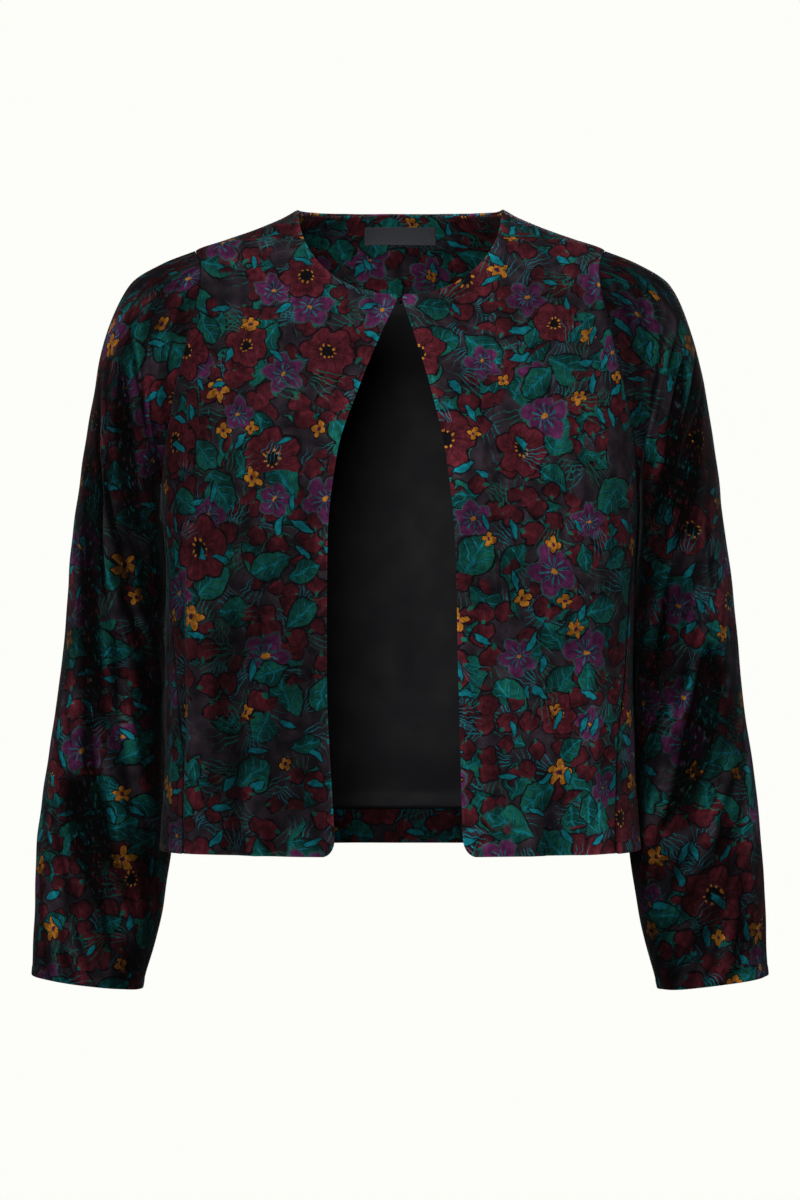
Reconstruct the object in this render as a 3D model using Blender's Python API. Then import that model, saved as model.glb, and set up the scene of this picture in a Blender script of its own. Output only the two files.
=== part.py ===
"""A cropped, collarless velvet jacket, filled out as it is when worn.

Metres, +Z up. The front faces -Y and the wearer's left is +X. The origin lies
midway between the two shoulder seams, where the wearer's shoulders carry it.
Heights are given as drops below the point where neck and shoulder seam meet.
"""

import math
from collections import namedtuple

import bmesh
import bpy
from mathutils import Vector

# Driving sizes
NECK_POINT_Z = 0.018
HEM_DROP = 0.556
FRONT_NECK_DROP = 0.079
BACK_NECK_RISE = 0.003
NECK_HALF_WIDTH = 0.0885
SHOULDER_POINT_DROP = 0.0357
UNDERARM_DROP = 0.238
ARMHOLE_FRONT = 0.047
ARMHOLE_BACK = 0.058
HEM_CORNER_HEIGHT = 0.0165
HEM_CORNER_WIDTH = 0.0114
NECK_CORNER_HEIGHT = 0.008
NECK_CORNER_WIDTH = 0.0045

# Cloth
CLOTH = 0.002
LINING_CLOTH = 0.001
LABEL_CLOTH = 0.0006
SEAM_GAP = 0.0003
FACING_CB_DROP = 0.073
HEM_FACING_HEIGHT = 0.031
LABEL_GAP = 0.0006
LABEL_WIDTH = 0.066
LABEL_HEIGHT = 0.017
LABEL_TOP_DROP = 0.006
LABEL_COLUMNS = 6
LABEL_ROWS = 2

# Where the side panel's seams run: steps round the armhole, and degrees round the hem
ARMHOLE_STEPS = 32
SIDE_FRONT_STEP = 13
SIDE_BACK_STEP = 19
SIDE_FRONT_HEM_DEG = 59.5
SIDE_BACK_HEM_DEG = 114.0

# How finely the cloth is divided
FRONT_COLUMNS = 10
BACK_HALF_COLUMNS = 10
LOWER_ROWS = 9
FRONT_EDGE_ROWS_ABOVE_BREAK = 5
NECK_CORNER_CROWDING = 2.5
FRONT_EDGE_BREAK_DROP = 0.170
SHOULDER_ROWS = 5
HEM_FACING_ROWS = 1
SLEEVE_RINGS = 26
HEM_CORNER_SHARES = (0.0, 0.13, 0.42, 1.0)
SHARP_EDGE_DEG = 40

# Hook and eye
WIRE_RADIUS = 0.00045
HOOK_DROP = 0.0845
HOOK_SPREAD = 0.0022
HOOK_BEHIND_CLOTH = 0.0012
EYE_REACH = 0.0016
EYE_FOOT = 0.0075
HOOK_FOOT = 0.0085
HOOK_BEND_RADIUS = 0.0014
BEND_STEPS = 8

Section = namedtuple("Section", "drop half_width front back square")
TORSO = [
    Section(0.0000, 0.0885, 0.035, 0.072, 2.00),
    Section(0.0052, 0.0985, 0.037, 0.074, 2.00),
    Section(0.0157, 0.1230, 0.042, 0.079, 2.00),
    Section(0.0261, 0.1520, 0.047, 0.083, 2.00),
    Section(0.0357, 0.1780, 0.052, 0.087, 2.00),
    Section(0.0680, 0.1940, 0.072, 0.096, 2.10),
    Section(0.1120, 0.2030, 0.095, 0.103, 2.15),
    Section(0.1640, 0.2070, 0.112, 0.107, 2.25),
    Section(0.2380, 0.2070, 0.125, 0.107, 2.40),
    Section(0.3400, 0.2030, 0.124, 0.100, 2.40),
    Section(0.4500, 0.2040, 0.119, 0.098, 2.40),
    Section(0.5560, 0.2080, 0.117, 0.103, 2.40),
]

FrontEdge = namedtuple("FrontEdge", "drop right_x left_x")
FRONT_EDGES = [
    FrontEdge(0.079, -0.0004, 0.0004),
    FrontEdge(0.110, -0.0148, 0.0110),
    FrontEdge(0.160, -0.0350, 0.0260),
    FrontEdge(0.215, -0.0530, 0.0385),
    FrontEdge(0.290, -0.0612, 0.0465),
    FrontEdge(0.400, -0.0618, 0.0492),
    FrontEdge(0.556, -0.0545, 0.0535),
]

# Each ring of the sleeve: its outer and inner ends seen from the front, then its depth
SleeveRing = namedtuple("SleeveRing", "outer_x outer_drop inner_x inner_drop middle_y half_depth")
SLEEVE = [
    SleeveRing(0.1780, 0.0357, 0.2070, 0.2380, 0.0055, 0.0525),
    SleeveRing(0.2066, 0.0465, 0.2080, 0.2395, 0.0070, 0.0560),
    SleeveRing(0.2345, 0.0640, 0.2050, 0.2425, 0.0100, 0.0620),
    SleeveRing(0.2535, 0.1040, 0.2015, 0.2500, 0.0150, 0.0690),
    SleeveRing(0.2690, 0.1700, 0.1990, 0.2700, 0.0230, 0.0750),
    SleeveRing(0.2829, 0.2570, 0.1980, 0.3140, 0.0330, 0.0740),
    SleeveRing(0.2931, 0.3440, 0.1975, 0.3820, 0.0410, 0.0700),
    SleeveRing(0.3034, 0.4320, 0.1990, 0.4560, 0.0470, 0.0650),
    SleeveRing(0.3150, 0.5200, 0.2005, 0.5330, 0.0500, 0.0580),
    SleeveRing(0.3215, 0.5930, 0.2080, 0.6070, 0.0480, 0.0490),
    SleeveRing(0.3245, 0.6690, 0.2255, 0.6815, 0.0430, 0.0400),
]
SLEEVE_SQUARE = 2.15
CAP_BLEND = 0.16
SLEEVE_REST_GAP = 0.002
SLEEVE_REST_SOFTNESS = 0.006
SLEEVE_REST_FROM = 0.10
SLEEVE_REST_PAST_HEM = 0.035

# Soft folds of the body: a line from one place to another, round the body in degrees from
# the centre front, with its width across and its depth (a ridge is negative)
BodyFold = namedtuple("BodyFold", "deg_top drop_top deg_low drop_low width depth")
BODY_FOLDS = [
    BodyFold(-44, 0.33, -40, 0.60, 0.030, 0.0050),
    BodyFold(-58, 0.30, -54, 0.60, 0.034, -0.0040),
    BodyFold(-26, 0.44, -27, 0.60, 0.024, 0.0025),
    BodyFold(33, 0.46, 35, 0.60, 0.026, 0.0030),
    BodyFold(48, 0.38, 47, 0.60, 0.032, -0.0030),
    BodyFold(150, 0.30, 146, 0.60, 0.040, 0.0045),
    BodyFold(-148, 0.28, -151, 0.60, 0.044, 0.0050),
    BodyFold(176, 0.40, 178, 0.60, 0.034, 0.0025),
    BodyFold(130, 0.36, 128, 0.60, 0.034, -0.0035),
    BodyFold(-128, 0.34, -126, 0.60, 0.034, -0.0030),
]

# Soft folds of a sleeve: shares of its length, and degrees round it from the outer line,
# through the front (90) to the inner line (180) and the back (270)
SleeveFold = namedtuple("SleeveFold", "share_from deg_from share_to deg_to width depth")
LEFT_SLEEVE_FOLDS = [
    SleeveFold(0.12, 62, 0.33, 118, 0.026, 0.0060),
    SleeveFold(0.19, 40, 0.40, 104, 0.028, 0.0055),
    SleeveFold(0.55, 64, 0.80, 122, 0.030, 0.0065),
    SleeveFold(0.60, 96, 0.86, 150, 0.030, -0.0035),
    SleeveFold(0.14, 290, 0.36, 236, 0.030, 0.0055),
    SleeveFold(0.58, 296, 0.74, 236, 0.030, 0.0060),
]
RIGHT_SLEEVE_FOLDS = [
    SleeveFold(0.14, 70, 0.36, 112, 0.026, 0.0060),
    SleeveFold(0.30, 44, 0.72, 92, 0.030, 0.0065),
    SleeveFold(0.36, 66, 0.76, 120, 0.028, -0.0040),
    SleeveFold(0.72, 60, 0.90, 112, 0.030, 0.0045),
    SleeveFold(0.16, 294, 0.38, 240, 0.030, 0.0055),
    SleeveFold(0.54, 300, 0.72, 240, 0.030, 0.0060),
]

# Metres of cloth to a degree round the body and round a sleeve, and how soon a fold fades to its ends
BODY_METRES_PER_DEGREE = 0.0029
SLEEVE_METRES_PER_DEGREE = 0.0011
FOLD_TAPER = 0.7

Finish = namedtuple("Finish", "name colour roughness metallic")
VELVET = Finish("velvet", (0.045, 0.022, 0.030), 0.75, 0.0)
VELVET_INSIDE = Finish("velvet_inside", (0.030, 0.018, 0.024), 0.80, 0.0)
BLACK_LINING = Finish("lining", (0.012, 0.012, 0.014), 0.45, 0.0)
LABEL_GREY = Finish("label", (0.045, 0.045, 0.050), 0.70, 0.0)
BLACK_METAL = Finish("fastening", (0.02, 0.02, 0.02), 0.40, 0.8)


def height(drop):
    return NECK_POINT_Z - drop


def signed_power(value, power):
    return math.copysign(abs(value) ** power, value)


def smooth_step(value):
    value = min(1.0, max(0.0, value))
    return value * value * (3 - 2 * value)


def mix(a, b, share):
    return a + (b - a) * share


def slopes_of(places, values):
    """Slopes for a curve through the values that doesn't swing past them."""
    steps = [(v1 - v0) / (p1 - p0) for p0, p1, v0, v1 in
             zip(places, places[1:], values, values[1:])]
    inner = [2 * a * b / (a + b) if a * b > 0 else 0.0 for a, b in zip(steps, steps[1:])]
    return [steps[0], *inner, steps[-1]]


def curve_at(places, values, place):
    """A smooth curve through the values, going on straight past either end."""
    slopes = slopes_of(places, values)
    if place <= places[0]:
        return values[0] + slopes[0] * (place - places[0])
    if place >= places[-1]:
        return values[-1] + slopes[-1] * (place - places[-1])
    i = max(k for k, p in enumerate(places) if p <= place)
    span = places[i + 1] - places[i]
    t = (place - places[i]) / span
    return ((1 + 2 * t) * (1 - t) ** 2 * values[i] + t * (1 - t) ** 2 * span * slopes[i]
            + t * t * (3 - 2 * t) * values[i + 1] + t * t * (t - 1) * span * slopes[i + 1])


def row_at(table, drop):
    """The row of a table at any drop, read smoothly between its rows."""
    places = [row.drop for row in table]
    columns = list(zip(*table))
    return type(table[0])(*[curve_at(places, column, drop) for column in columns])


def bell(distance, width):
    """1 on a fold's line, falling to 0 at its width."""
    share = abs(distance) / width
    return 0.5 + 0.5 * math.cos(math.pi * share) if share < 1 else 0.0


def fold_height(folds, place, scale):
    """How far the folds push the cloth out at a place (across, along)."""
    total = 0.0
    for fold in folds:
        start = Vector((fold[0] * scale, fold[1]))
        end = Vector((fold[2] * scale, fold[3]))
        line = end - start
        share = (place - start).dot(line) / line.length_squared
        if not 0 < share < 1:
            continue
        across = (place - start - line * share).length
        total -= fold.depth * bell(across, fold.width) * math.sin(math.pi * share) ** FOLD_TAPER
    return total


def torso_base(phi, drop):
    row = row_at(TORSO, drop)
    power = 2 / row.square
    depth = row.front if math.cos(phi) > 0 else row.back
    x = row.half_width * signed_power(math.sin(phi), power)
    y = -depth * signed_power(math.cos(phi), power)
    return Vector((x, y, height(drop)))


def torso_normal(phi, drop):
    step_phi, step_drop = math.radians(1.0), 0.001
    around = torso_base(phi + step_phi, drop) - torso_base(phi - step_phi, drop)
    down = torso_base(phi, drop + step_drop) - torso_base(phi, drop - step_drop)
    return down.cross(around).normalized()


def torso_point(phi, drop, out=0.0):
    """A place on the body's outer face, folds included, moved out along the cloth's normal."""
    place = Vector((math.degrees(phi) * BODY_METRES_PER_DEGREE, drop))
    out += fold_height(BODY_FOLDS, place, BODY_METRES_PER_DEGREE)
    return torso_base(phi, drop) + torso_normal(phi, drop) * out


def phi_of_x(x, drop):
    row = row_at(TORSO, drop)
    share = min(1.0, abs(x) / row.half_width)
    return math.copysign(math.asin(share ** (row.square / 2)), x)


def phi_of_y(y, drop):
    row = row_at(TORSO, drop)
    depth = row.front if y < 0 else row.back
    angle = math.acos(min(1.0, abs(y) / depth) ** (row.square / 2))
    return angle if y < 0 else math.pi - angle


def armhole(step):
    """A place (angle round the body, drop) on the left armhole, from the shoulder point
    (step 0) down the front, under the arm and up the back."""
    psi = 2 * math.pi * step / ARMHOLE_STEPS
    drop = mix(SHOULDER_POINT_DROP, UNDERARM_DROP, (1 - math.cos(psi)) / 2)
    depth = ARMHOLE_FRONT if math.sin(psi) > 0 else ARMHOLE_BACK
    return Vector((phi_of_y(-depth * math.sin(psi), drop), drop))


def seam(top, hem_deg, drop):
    """A side panel's seam, from the armhole to the hem."""
    share = (drop - top.y) / (HEM_DROP - top.y)
    return Vector((mix(top.x, math.radians(hem_deg), smooth_step(share)), drop))


def lower_drops(top):
    """Row heights from the hem up to the armhole, close together round the hem's corner."""
    corner = [HEM_DROP - HEM_CORNER_HEIGHT * share for share in HEM_CORNER_SHARES]
    return corner + [mix(corner[-1], top, (i + 1) / LOWER_ROWS) for i in range(LOWER_ROWS)]


def corner_shift(from_end, tall, wide):
    """How far a rounded corner draws an edge back, at a distance from the edge's end."""
    reach = min(1.0, max(0.0, 1 - from_end / tall))
    return wide * (1 - math.sqrt(1 - reach ** 2))


def front_edge_x(side, drop):
    """How far across the front's free edge lies, rounded at the neck and at the hem."""
    row = row_at(FRONT_EDGES, drop)
    neck = corner_shift(drop - FRONT_NECK_DROP, NECK_CORNER_HEIGHT, NECK_CORNER_WIDTH)
    hem = corner_shift(HEM_DROP - drop, HEM_CORNER_HEIGHT, HEM_CORNER_WIDTH)
    return (row.left_x if side > 0 else row.right_x) + side * (neck + hem)


def front_edge(side, drop):
    return Vector((phi_of_x(front_edge_x(side, drop), drop), drop))


def neck_edge(side, share):
    """The front's neck curve, from the free edge (0) to the shoulder seam (1)."""
    angle = share * math.pi / 2
    drop = FRONT_NECK_DROP * math.cos(angle)
    x = mix(front_edge_x(side, FRONT_NECK_DROP), side * NECK_HALF_WIDTH, math.sin(angle))
    if share == 1:
        return Vector((side * math.pi / 2, 0.0))
    return Vector((phi_of_x(x, drop), drop))


def mirrored(place, side):
    return Vector((place.x * side, place.y))


def ruled_rows(starts, ends, columns):
    return [[start.lerp(end, i / columns) for i in range(columns + 1)]
            for start, end in zip(starts, ends)]


def front_rows(side):
    """Places of a front panel: rows from the hem to the shoulder seam."""
    seam_top = armhole(SIDE_FRONT_STEP)
    drops = lower_drops(seam_top.y)
    ends = [seam(seam_top, SIDE_FRONT_HEM_DEG, drop) for drop in drops]
    ends += [armhole(step) for step in range(SIDE_FRONT_STEP - 1, -1, -1)]
    ends = [mirrored(end, side) for end in ends]
    low, high = HEM_DROP - HEM_CORNER_HEIGHT, FRONT_EDGE_BREAK_DROP
    starts = []
    for drop in drops:
        share = (low - drop) / (low - seam_top.y)
        starts.append(front_edge(side, drop if share < 0 else mix(low, high, share)))
    edge_rows = FRONT_EDGE_ROWS_ABOVE_BREAK
    for i in range(1, edge_rows + 1):
        share = 1 - (1 - i / edge_rows) ** NECK_CORNER_CROWDING
        starts.append(front_edge(side, mix(high, FRONT_NECK_DROP, share)))
    neck_rows = SIDE_FRONT_STEP - edge_rows
    starts += [neck_edge(side, i / neck_rows) for i in range(1, neck_rows + 1)]
    return ruled_rows(starts, ends, FRONT_COLUMNS)


def back_rows():
    """Places across the whole back, right to left: rows from the hem, past the hem facing's
    top, up the seams and armholes, and from the facing's low edge to the neck."""
    seam_top = armhole(SIDE_BACK_STEP)
    facing_top = HEM_DROP - HEM_FACING_HEIGHT
    drops = [HEM_DROP] + [mix(facing_top, seam_top.y, i / LOWER_ROWS) for i in range(LOWER_ROWS + 1)]
    left = [seam(seam_top, SIDE_BACK_HEM_DEG, drop) for drop in drops]
    left += [armhole(step) for step in range(SIDE_BACK_STEP + 1, ARMHOLE_STEPS + 1)]
    below = len(left) - HEM_FACING_ROWS - 1
    middle = [HEM_DROP] + [mix(facing_top, FACING_CB_DROP, i / below) for i in range(below + 1)]
    for i in range(1, SHOULDER_ROWS + 1):
        share = i / SHOULDER_ROWS
        left.append(Vector((math.pi / 2, mix(SHOULDER_POINT_DROP, 0.0, share))))
        middle.append(mix(FACING_CB_DROP, -BACK_NECK_RISE, share))
    half = [[Vector((mix(math.pi, end.x, i / BACK_HALF_COLUMNS),
                     mix(drop, end.y, smooth_step(i / BACK_HALF_COLUMNS))))
             for i in range(BACK_HALF_COLUMNS + 1)] for drop, end in zip(middle, left)]
    turn = 2 * math.pi
    return [[Vector((turn - p.x, p.y)) for p in reversed(row[1:])] + row for row in half]


def side_rows(side):
    """Places of a side panel: rows from the hem to the underarm."""
    steps = range(SIDE_FRONT_STEP, SIDE_BACK_STEP + 1)
    tops = [armhole(step) for step in steps]
    shares = [i / (len(tops) - 1) for i in range(len(tops))]
    rows = []
    for i in range(LOWER_ROWS + 1):
        up = i / LOWER_ROWS
        row = []
        for top, share in zip(tops, shares):
            drop = mix(HEM_DROP, top.y, up)
            front = seam(tops[0], SIDE_FRONT_HEM_DEG, mix(HEM_DROP, tops[0].y, up)).x
            back = seam(tops[-1], SIDE_BACK_HEM_DEG, mix(HEM_DROP, tops[-1].y, up)).x
            straight = mix(tops[0].x, tops[-1].x, share)
            phi = mix(front, back, share) + (top.x - straight) * up
            row.append(mirrored(Vector((phi, drop)), side))
        rows.append(row)
    return rows


def label_rows():
    """Places of the neck label, lying on the facing at the centre back."""
    rows = []
    for i in range(LABEL_ROWS + 1):
        drop = LABEL_TOP_DROP + LABEL_HEIGHT * (1 - i / LABEL_ROWS)
        half_angle = phi_of_x(LABEL_WIDTH / 2, drop)
        rows.append([Vector((math.pi + half_angle * (1 - 2 * j / LABEL_COLUMNS), drop))
                     for j in range(LABEL_COLUMNS + 1)])
    return rows


def wall(rows, outer, inner):
    """The two faces of a sheet of cloth over places on the body: points by row, then by column."""
    return ([[torso_point(p.x, p.y, outer) for p in row] for row in rows],
            [[torso_point(p.x, p.y, inner) for p in row] for row in rows])


def trimmed(points, low=0.0, high=0.0, first=0.0, last=0.0):
    """The rows of points with their edges drawn in, to leave a gap at each seam."""
    rows = [[p.copy() for p in row] for row in points]

    def draw_in(edge, neighbours, amount):
        for p, q in zip(edge, neighbours):
            p += (q - p).normalized() * amount

    for row in rows:
        for here, there, amount in ((0, 1, first), (-1, -2, last)):
            draw_in([row[here]], [row[there]], amount)
    draw_in(rows[0], rows[1], low)
    draw_in(rows[-1], rows[-2], high)
    return rows


def sleeve_places():
    """How far along the outer line each ring of the table lies."""
    places = [0.0]
    for a, b in zip(SLEEVE, SLEEVE[1:]):
        places.append(places[-1] + math.hypot(b.outer_x - a.outer_x, b.outer_drop - a.outer_drop))
    return places


SLEEVE_PLACES = sleeve_places()


def sleeve_ring_point(share, psi):
    """A place on the ring at a share of the left sleeve's length, as the table gives it."""
    along = share * SLEEVE_PLACES[-1]
    ring = SleeveRing(*[curve_at(SLEEVE_PLACES, column, along) for column in zip(*SLEEVE)])
    outer = Vector((ring.outer_x, ring.middle_y, height(ring.outer_drop)))
    inner = Vector((ring.inner_x, ring.middle_y, height(ring.inner_drop)))
    middle = (outer + inner) / 2
    power = 2 / SLEEVE_SQUARE
    return (middle + (outer - middle) * signed_power(math.cos(psi), power)
            + Vector((0, -ring.half_depth, 0)) * signed_power(math.sin(psi), power))


def sleeve_base(share, psi):
    """A place on the left sleeve, led from the armhole's own curve into the rings."""
    point = sleeve_ring_point(share, psi)
    to_armhole = 1 - smooth_step(share / CAP_BLEND)
    if to_armhole > 0:
        place = armhole(psi / (2 * math.pi) * ARMHOLE_STEPS)
        start = torso_point(place.x, place.y) + Vector((SEAM_GAP, 0, 0))
        point += (start - sleeve_ring_point(0.0, psi)) * to_armhole
    return resting(point, smooth_step(share / SLEEVE_REST_FROM))


def resting(point, share):
    """A place on the sleeve, kept just clear of the body that it hangs against."""
    drop = NECK_POINT_Z - point.z
    row = row_at(TORSO, min(drop, HEM_DROP))
    depth = row.front if point.y < 0 else row.back
    inside = 1 - (abs(point.y) / depth) ** row.square
    if inside <= 0 or share <= 0:
        return point
    limit = row.half_width * inside ** (1 / row.square) + SLEEVE_REST_GAP
    soft = SLEEVE_REST_SOFTNESS
    over = point.x - limit
    if over >= soft:
        return point
    pushed = limit + (over + soft) ** 2 / (4 * soft) if over > -soft else limit
    share *= 1 - smooth_step((drop - HEM_DROP) / SLEEVE_REST_PAST_HEM)
    return Vector((mix(point.x, pushed, share), point.y, point.z))


def sleeve_normal(share, psi):
    step_share, step_psi = 0.004, math.radians(2.0)
    low = max(0.0, share - step_share)
    along = sleeve_base(share + step_share, psi) - sleeve_base(low, psi)
    around = sleeve_base(share, psi + step_psi) - sleeve_base(share, psi - step_psi)
    return around.cross(along).normalized()


def sleeve_fold_height(folds, share, psi):
    """Folds on a sleeve, with the angle turned into metres by the sleeve's mean girth."""
    length, scale = SLEEVE_PLACES[-1], SLEEVE_METRES_PER_DEGREE
    laid_out = [fold._replace(share_from=fold.deg_from * scale, deg_from=fold.share_from * length,
                              share_to=fold.deg_to * scale, deg_to=fold.share_to * length)
                for fold in folds]
    place = Vector((math.degrees(psi) * scale, share * length))
    return fold_height(laid_out, place, 1.0)


def sleeve_rings(folds, inside):
    """Rings of points from the armhole to the cuff, moved in by the given amount."""
    rings = []
    for i in range(SLEEVE_RINGS + 1):
        share = i / SLEEVE_RINGS
        ring = []
        for step in range(ARMHOLE_STEPS):
            psi = 2 * math.pi * step / ARMHOLE_STEPS
            out = sleeve_fold_height(folds, share, psi) - inside
            ring.append(sleeve_base(share, psi) + sleeve_normal(share, psi) * out)
        rings.append(ring)
    return rings


def material(finish):
    made = bpy.data.materials.new(finish.name)
    made.use_nodes = True
    shader = made.node_tree.nodes["Principled BSDF"]
    shader.inputs["Base Color"].default_value = (*finish.colour, 1.0)
    shader.inputs["Roughness"].default_value = finish.roughness
    shader.inputs["Metallic"].default_value = finish.metallic
    return made


def solid(name, bm, finish):
    bmesh.ops.recalc_face_normals(bm, faces=bm.faces)
    mesh = bpy.data.meshes.new(name)
    bm.to_mesh(mesh)
    bm.free()
    mesh.shade_smooth()
    mesh.set_sharp_from_angle(angle=math.radians(SHARP_EDGE_DEG))
    mesh.materials.append(finish)
    obj = bpy.data.objects.new(name, mesh)
    bpy.context.scene.collection.objects.link(obj)
    return obj


def face_grid(bm, grid, closed):
    """Faces over a grid of vertices, joined round where it is closed."""
    for low, high in zip(grid, grid[1:]):
        ends = list(zip(low, low[1:], high[1:], high))
        if closed:
            ends.append((low[-1], low[0], high[0], high[-1]))
        for corners in ends:
            bm.faces.new(corners)


def cloth_solid(name, outer, inner, finish, closed=False):
    """A wall of cloth between two grids of points."""
    bm = bmesh.new()
    grids = [[[bm.verts.new(p) for p in row] for row in points] for points in (outer, inner)]
    for grid in grids:
        face_grid(bm, grid, closed)
    front, behind = grids
    rims = [(front[0], behind[0]), (front[-1], behind[-1])]
    if not closed:
        rims += [([row[i] for row in front], [row[i] for row in behind]) for i in (0, -1)]
    for one, other in rims:
        face_grid(bm, [one, other], closed)
    return solid(name, bm, finish)


def body_panel(name, rows, finish, **gaps):
    outer, inner = wall(rows, 0.0, -CLOTH)
    return cloth_solid(name, trimmed(outer, **gaps), trimmed(inner, **gaps), finish)


def inner_layer(name, rows, finish, thickness, below=0.0, **gaps):
    """A sheet that lies on the inside of the back, a seam's gap away from what it lies on."""
    outside = -(CLOTH + SEAM_GAP + below)
    outer, inner = wall(rows, outside, outside - thickness)
    return cloth_solid(name, trimmed(outer, **gaps), trimmed(inner, **gaps), finish)


def sleeve(name, side, folds, finish):
    outer, inner = (
        [[Vector((p.x * side, p.y, p.z)) for p in ring] for ring in sleeve_rings(folds, inside)]
        for inside in (0.0, CLOTH))
    return cloth_solid(name, outer, inner, finish, closed=True)


def wire(name, points, finish):
    """A bent wire through points, with rounded bends left to the points themselves."""
    curve = bpy.data.curves.new(name, "CURVE")
    curve.dimensions = "3D"
    curve.bevel_depth = WIRE_RADIUS
    curve.bevel_resolution = 1
    curve.use_fill_caps = True
    spline = curve.splines.new("POLY")
    spline.points.add(len(points) - 1)
    for target, point in zip(spline.points, points):
        target.co = (*point, 1.0)
    curve.materials.append(finish)
    obj = bpy.data.objects.new(name, curve)
    bpy.context.scene.collection.objects.link(obj)
    return obj


def behind_front(x, up, depth):
    """A place behind the fronts near the hook: across, up from the hook, and further inside."""
    drop = HOOK_DROP - up
    return torso_point(phi_of_x(x, drop), drop, -(CLOTH + HOOK_BEHIND_CLOTH + depth))


def hook_and_eye(finish):
    """The fastening at the neck: an eye on the left front, and a hook on the right front
    that passes behind the eye's bar and comes back round it in front."""
    turns = [math.pi * i / BEND_STEPS for i in range(BEND_STEPS + 1)]
    half = HOOK_SPREAD
    loop = [(EYE_REACH - half * math.sin(turn), half * math.cos(turn)) for turn in turns]
    loop = [(EYE_FOOT, half), *loop, (EYE_FOOT, -half)]
    wire("eye", [behind_front(x, up, 0.0) for x, up in loop], finish)
    bar_x = EYE_REACH - half
    bend = HOOK_BEND_RADIUS
    arm = [(bar_x + bend * math.sin(turn), bend * math.cos(turn)) for turn in turns]
    arm = [(-HOOK_FOOT, bend), *arm, (bar_x - bend, -bend)]
    wire("hook", [behind_front(x, 0.0, depth) for x, depth in arm], finish)


def main():
    for obj in list(bpy.data.objects):
        bpy.data.objects.remove(obj)
    velvet = material(VELVET)
    velvet_inside = material(VELVET_INSIDE)
    lining = material(BLACK_LINING)
    label = material(LABEL_GREY)
    metal = material(BLACK_METAL)
    half_gap = SEAM_GAP / 2

    for name, side in (("right", -1), ("left", 1)):
        body_panel(f"front_{name}", front_rows(side), velvet, high=half_gap, last=half_gap)
        body_panel(f"side_{name}", side_rows(side), velvet, first=half_gap, last=half_gap)
    rows = back_rows()
    body_panel("back", rows, velvet, first=half_gap, last=half_gap)
    sleeve("sleeve_right", -1, RIGHT_SLEEVE_FOLDS, velvet)
    sleeve("sleeve_left", 1, LEFT_SLEEVE_FOLDS, velvet)

    hem_rows, lining_rows, facing_rows = (rows[:HEM_FACING_ROWS + 1],
                                          rows[HEM_FACING_ROWS:-SHOULDER_ROWS],
                                          rows[-SHOULDER_ROWS - 1:])
    inner_layer("back_neck_facing", facing_rows, velvet_inside, CLOTH,
                low=half_gap, first=half_gap, last=half_gap)
    inner_layer("back_lining", lining_rows, lining, LINING_CLOTH,
                low=half_gap, high=half_gap, first=SEAM_GAP, last=SEAM_GAP)
    inner_layer("back_hem_facing", hem_rows, velvet_inside, CLOTH,
                high=half_gap, first=half_gap, last=half_gap)
    inner_layer("neck_label", label_rows(), label, LABEL_CLOTH, below=CLOTH + LABEL_GAP)
    hook_and_eye(metal)


main()
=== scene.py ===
"""A cropped, collarless velvet jacket, filled out as it is when worn: its looks.

Metres, +Z up. The front faces -Y and the wearer's left is +X. Heights are given as
drops below the point where neck and shoulder seam meet.
"""

import math
from collections import namedtuple
from functools import reduce

import bpy
import numpy as np
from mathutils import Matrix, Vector


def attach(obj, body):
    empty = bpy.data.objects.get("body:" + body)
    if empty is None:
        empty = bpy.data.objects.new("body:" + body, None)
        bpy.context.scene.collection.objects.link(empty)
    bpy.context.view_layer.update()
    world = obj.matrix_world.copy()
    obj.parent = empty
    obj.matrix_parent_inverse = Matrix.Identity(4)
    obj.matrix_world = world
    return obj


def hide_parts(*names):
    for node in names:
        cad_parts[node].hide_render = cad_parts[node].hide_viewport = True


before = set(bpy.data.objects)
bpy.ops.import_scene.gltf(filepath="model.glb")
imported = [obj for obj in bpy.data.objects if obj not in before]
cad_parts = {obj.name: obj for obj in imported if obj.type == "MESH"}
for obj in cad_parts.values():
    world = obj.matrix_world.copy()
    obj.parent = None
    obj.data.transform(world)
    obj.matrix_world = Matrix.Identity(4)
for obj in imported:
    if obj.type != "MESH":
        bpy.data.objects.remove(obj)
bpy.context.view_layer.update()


def rows(kind, table):
    """A table's rows with its columns named."""
    return [kind(*row) for row in table]


# Driving sizes, as in the solids
NECK_POINT_Z = 0.018
HEM_DROP = 0.556
FRONT_NECK_DROP = 0.079
BACK_NECK_RISE = 0.003
NECK_HALF_WIDTH = 0.0885
SHOULDER_POINT_DROP = 0.0357
UNDERARM_DROP = 0.238
ARMHOLE_FRONT = 0.047
ARMHOLE_BACK = 0.058
HEM_CORNER_HEIGHT = 0.0165
HEM_CORNER_WIDTH = 0.0114
NECK_CORNER_HEIGHT = 0.008
NECK_CORNER_WIDTH = 0.0045
NECK_CORNER_CROWDING = 2.5
CLOTH = 0.002
LINING_CLOTH = 0.001
LABEL_CLOTH = 0.0006
SEAM_GAP = 0.0003
FACING_CB_DROP = 0.073
HEM_FACING_HEIGHT = 0.031
LABEL_GAP = 0.0006
LABEL_WIDTH = 0.066
LABEL_HEIGHT = 0.017
LABEL_TOP_DROP = 0.006
LABEL_FOLD = 0.0045
LABEL_FOLD_CLOTH = 0.0004
LABEL_STITCHES = 6
LABEL_ROWS = 16
LABEL_COLUMNS = 40
STITCH_START = 0.65
STITCH_SHARE = 0.7
STITCH_RADIUS = 0.00022
ARMHOLE_STEPS = 32
SIDE_FRONT_STEP = 13
SIDE_BACK_STEP = 19
SIDE_FRONT_HEM_DEG = 59.5
SIDE_BACK_HEM_DEG = 114.0
FRONT_EDGE_BREAK_DROP = 0.170
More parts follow.
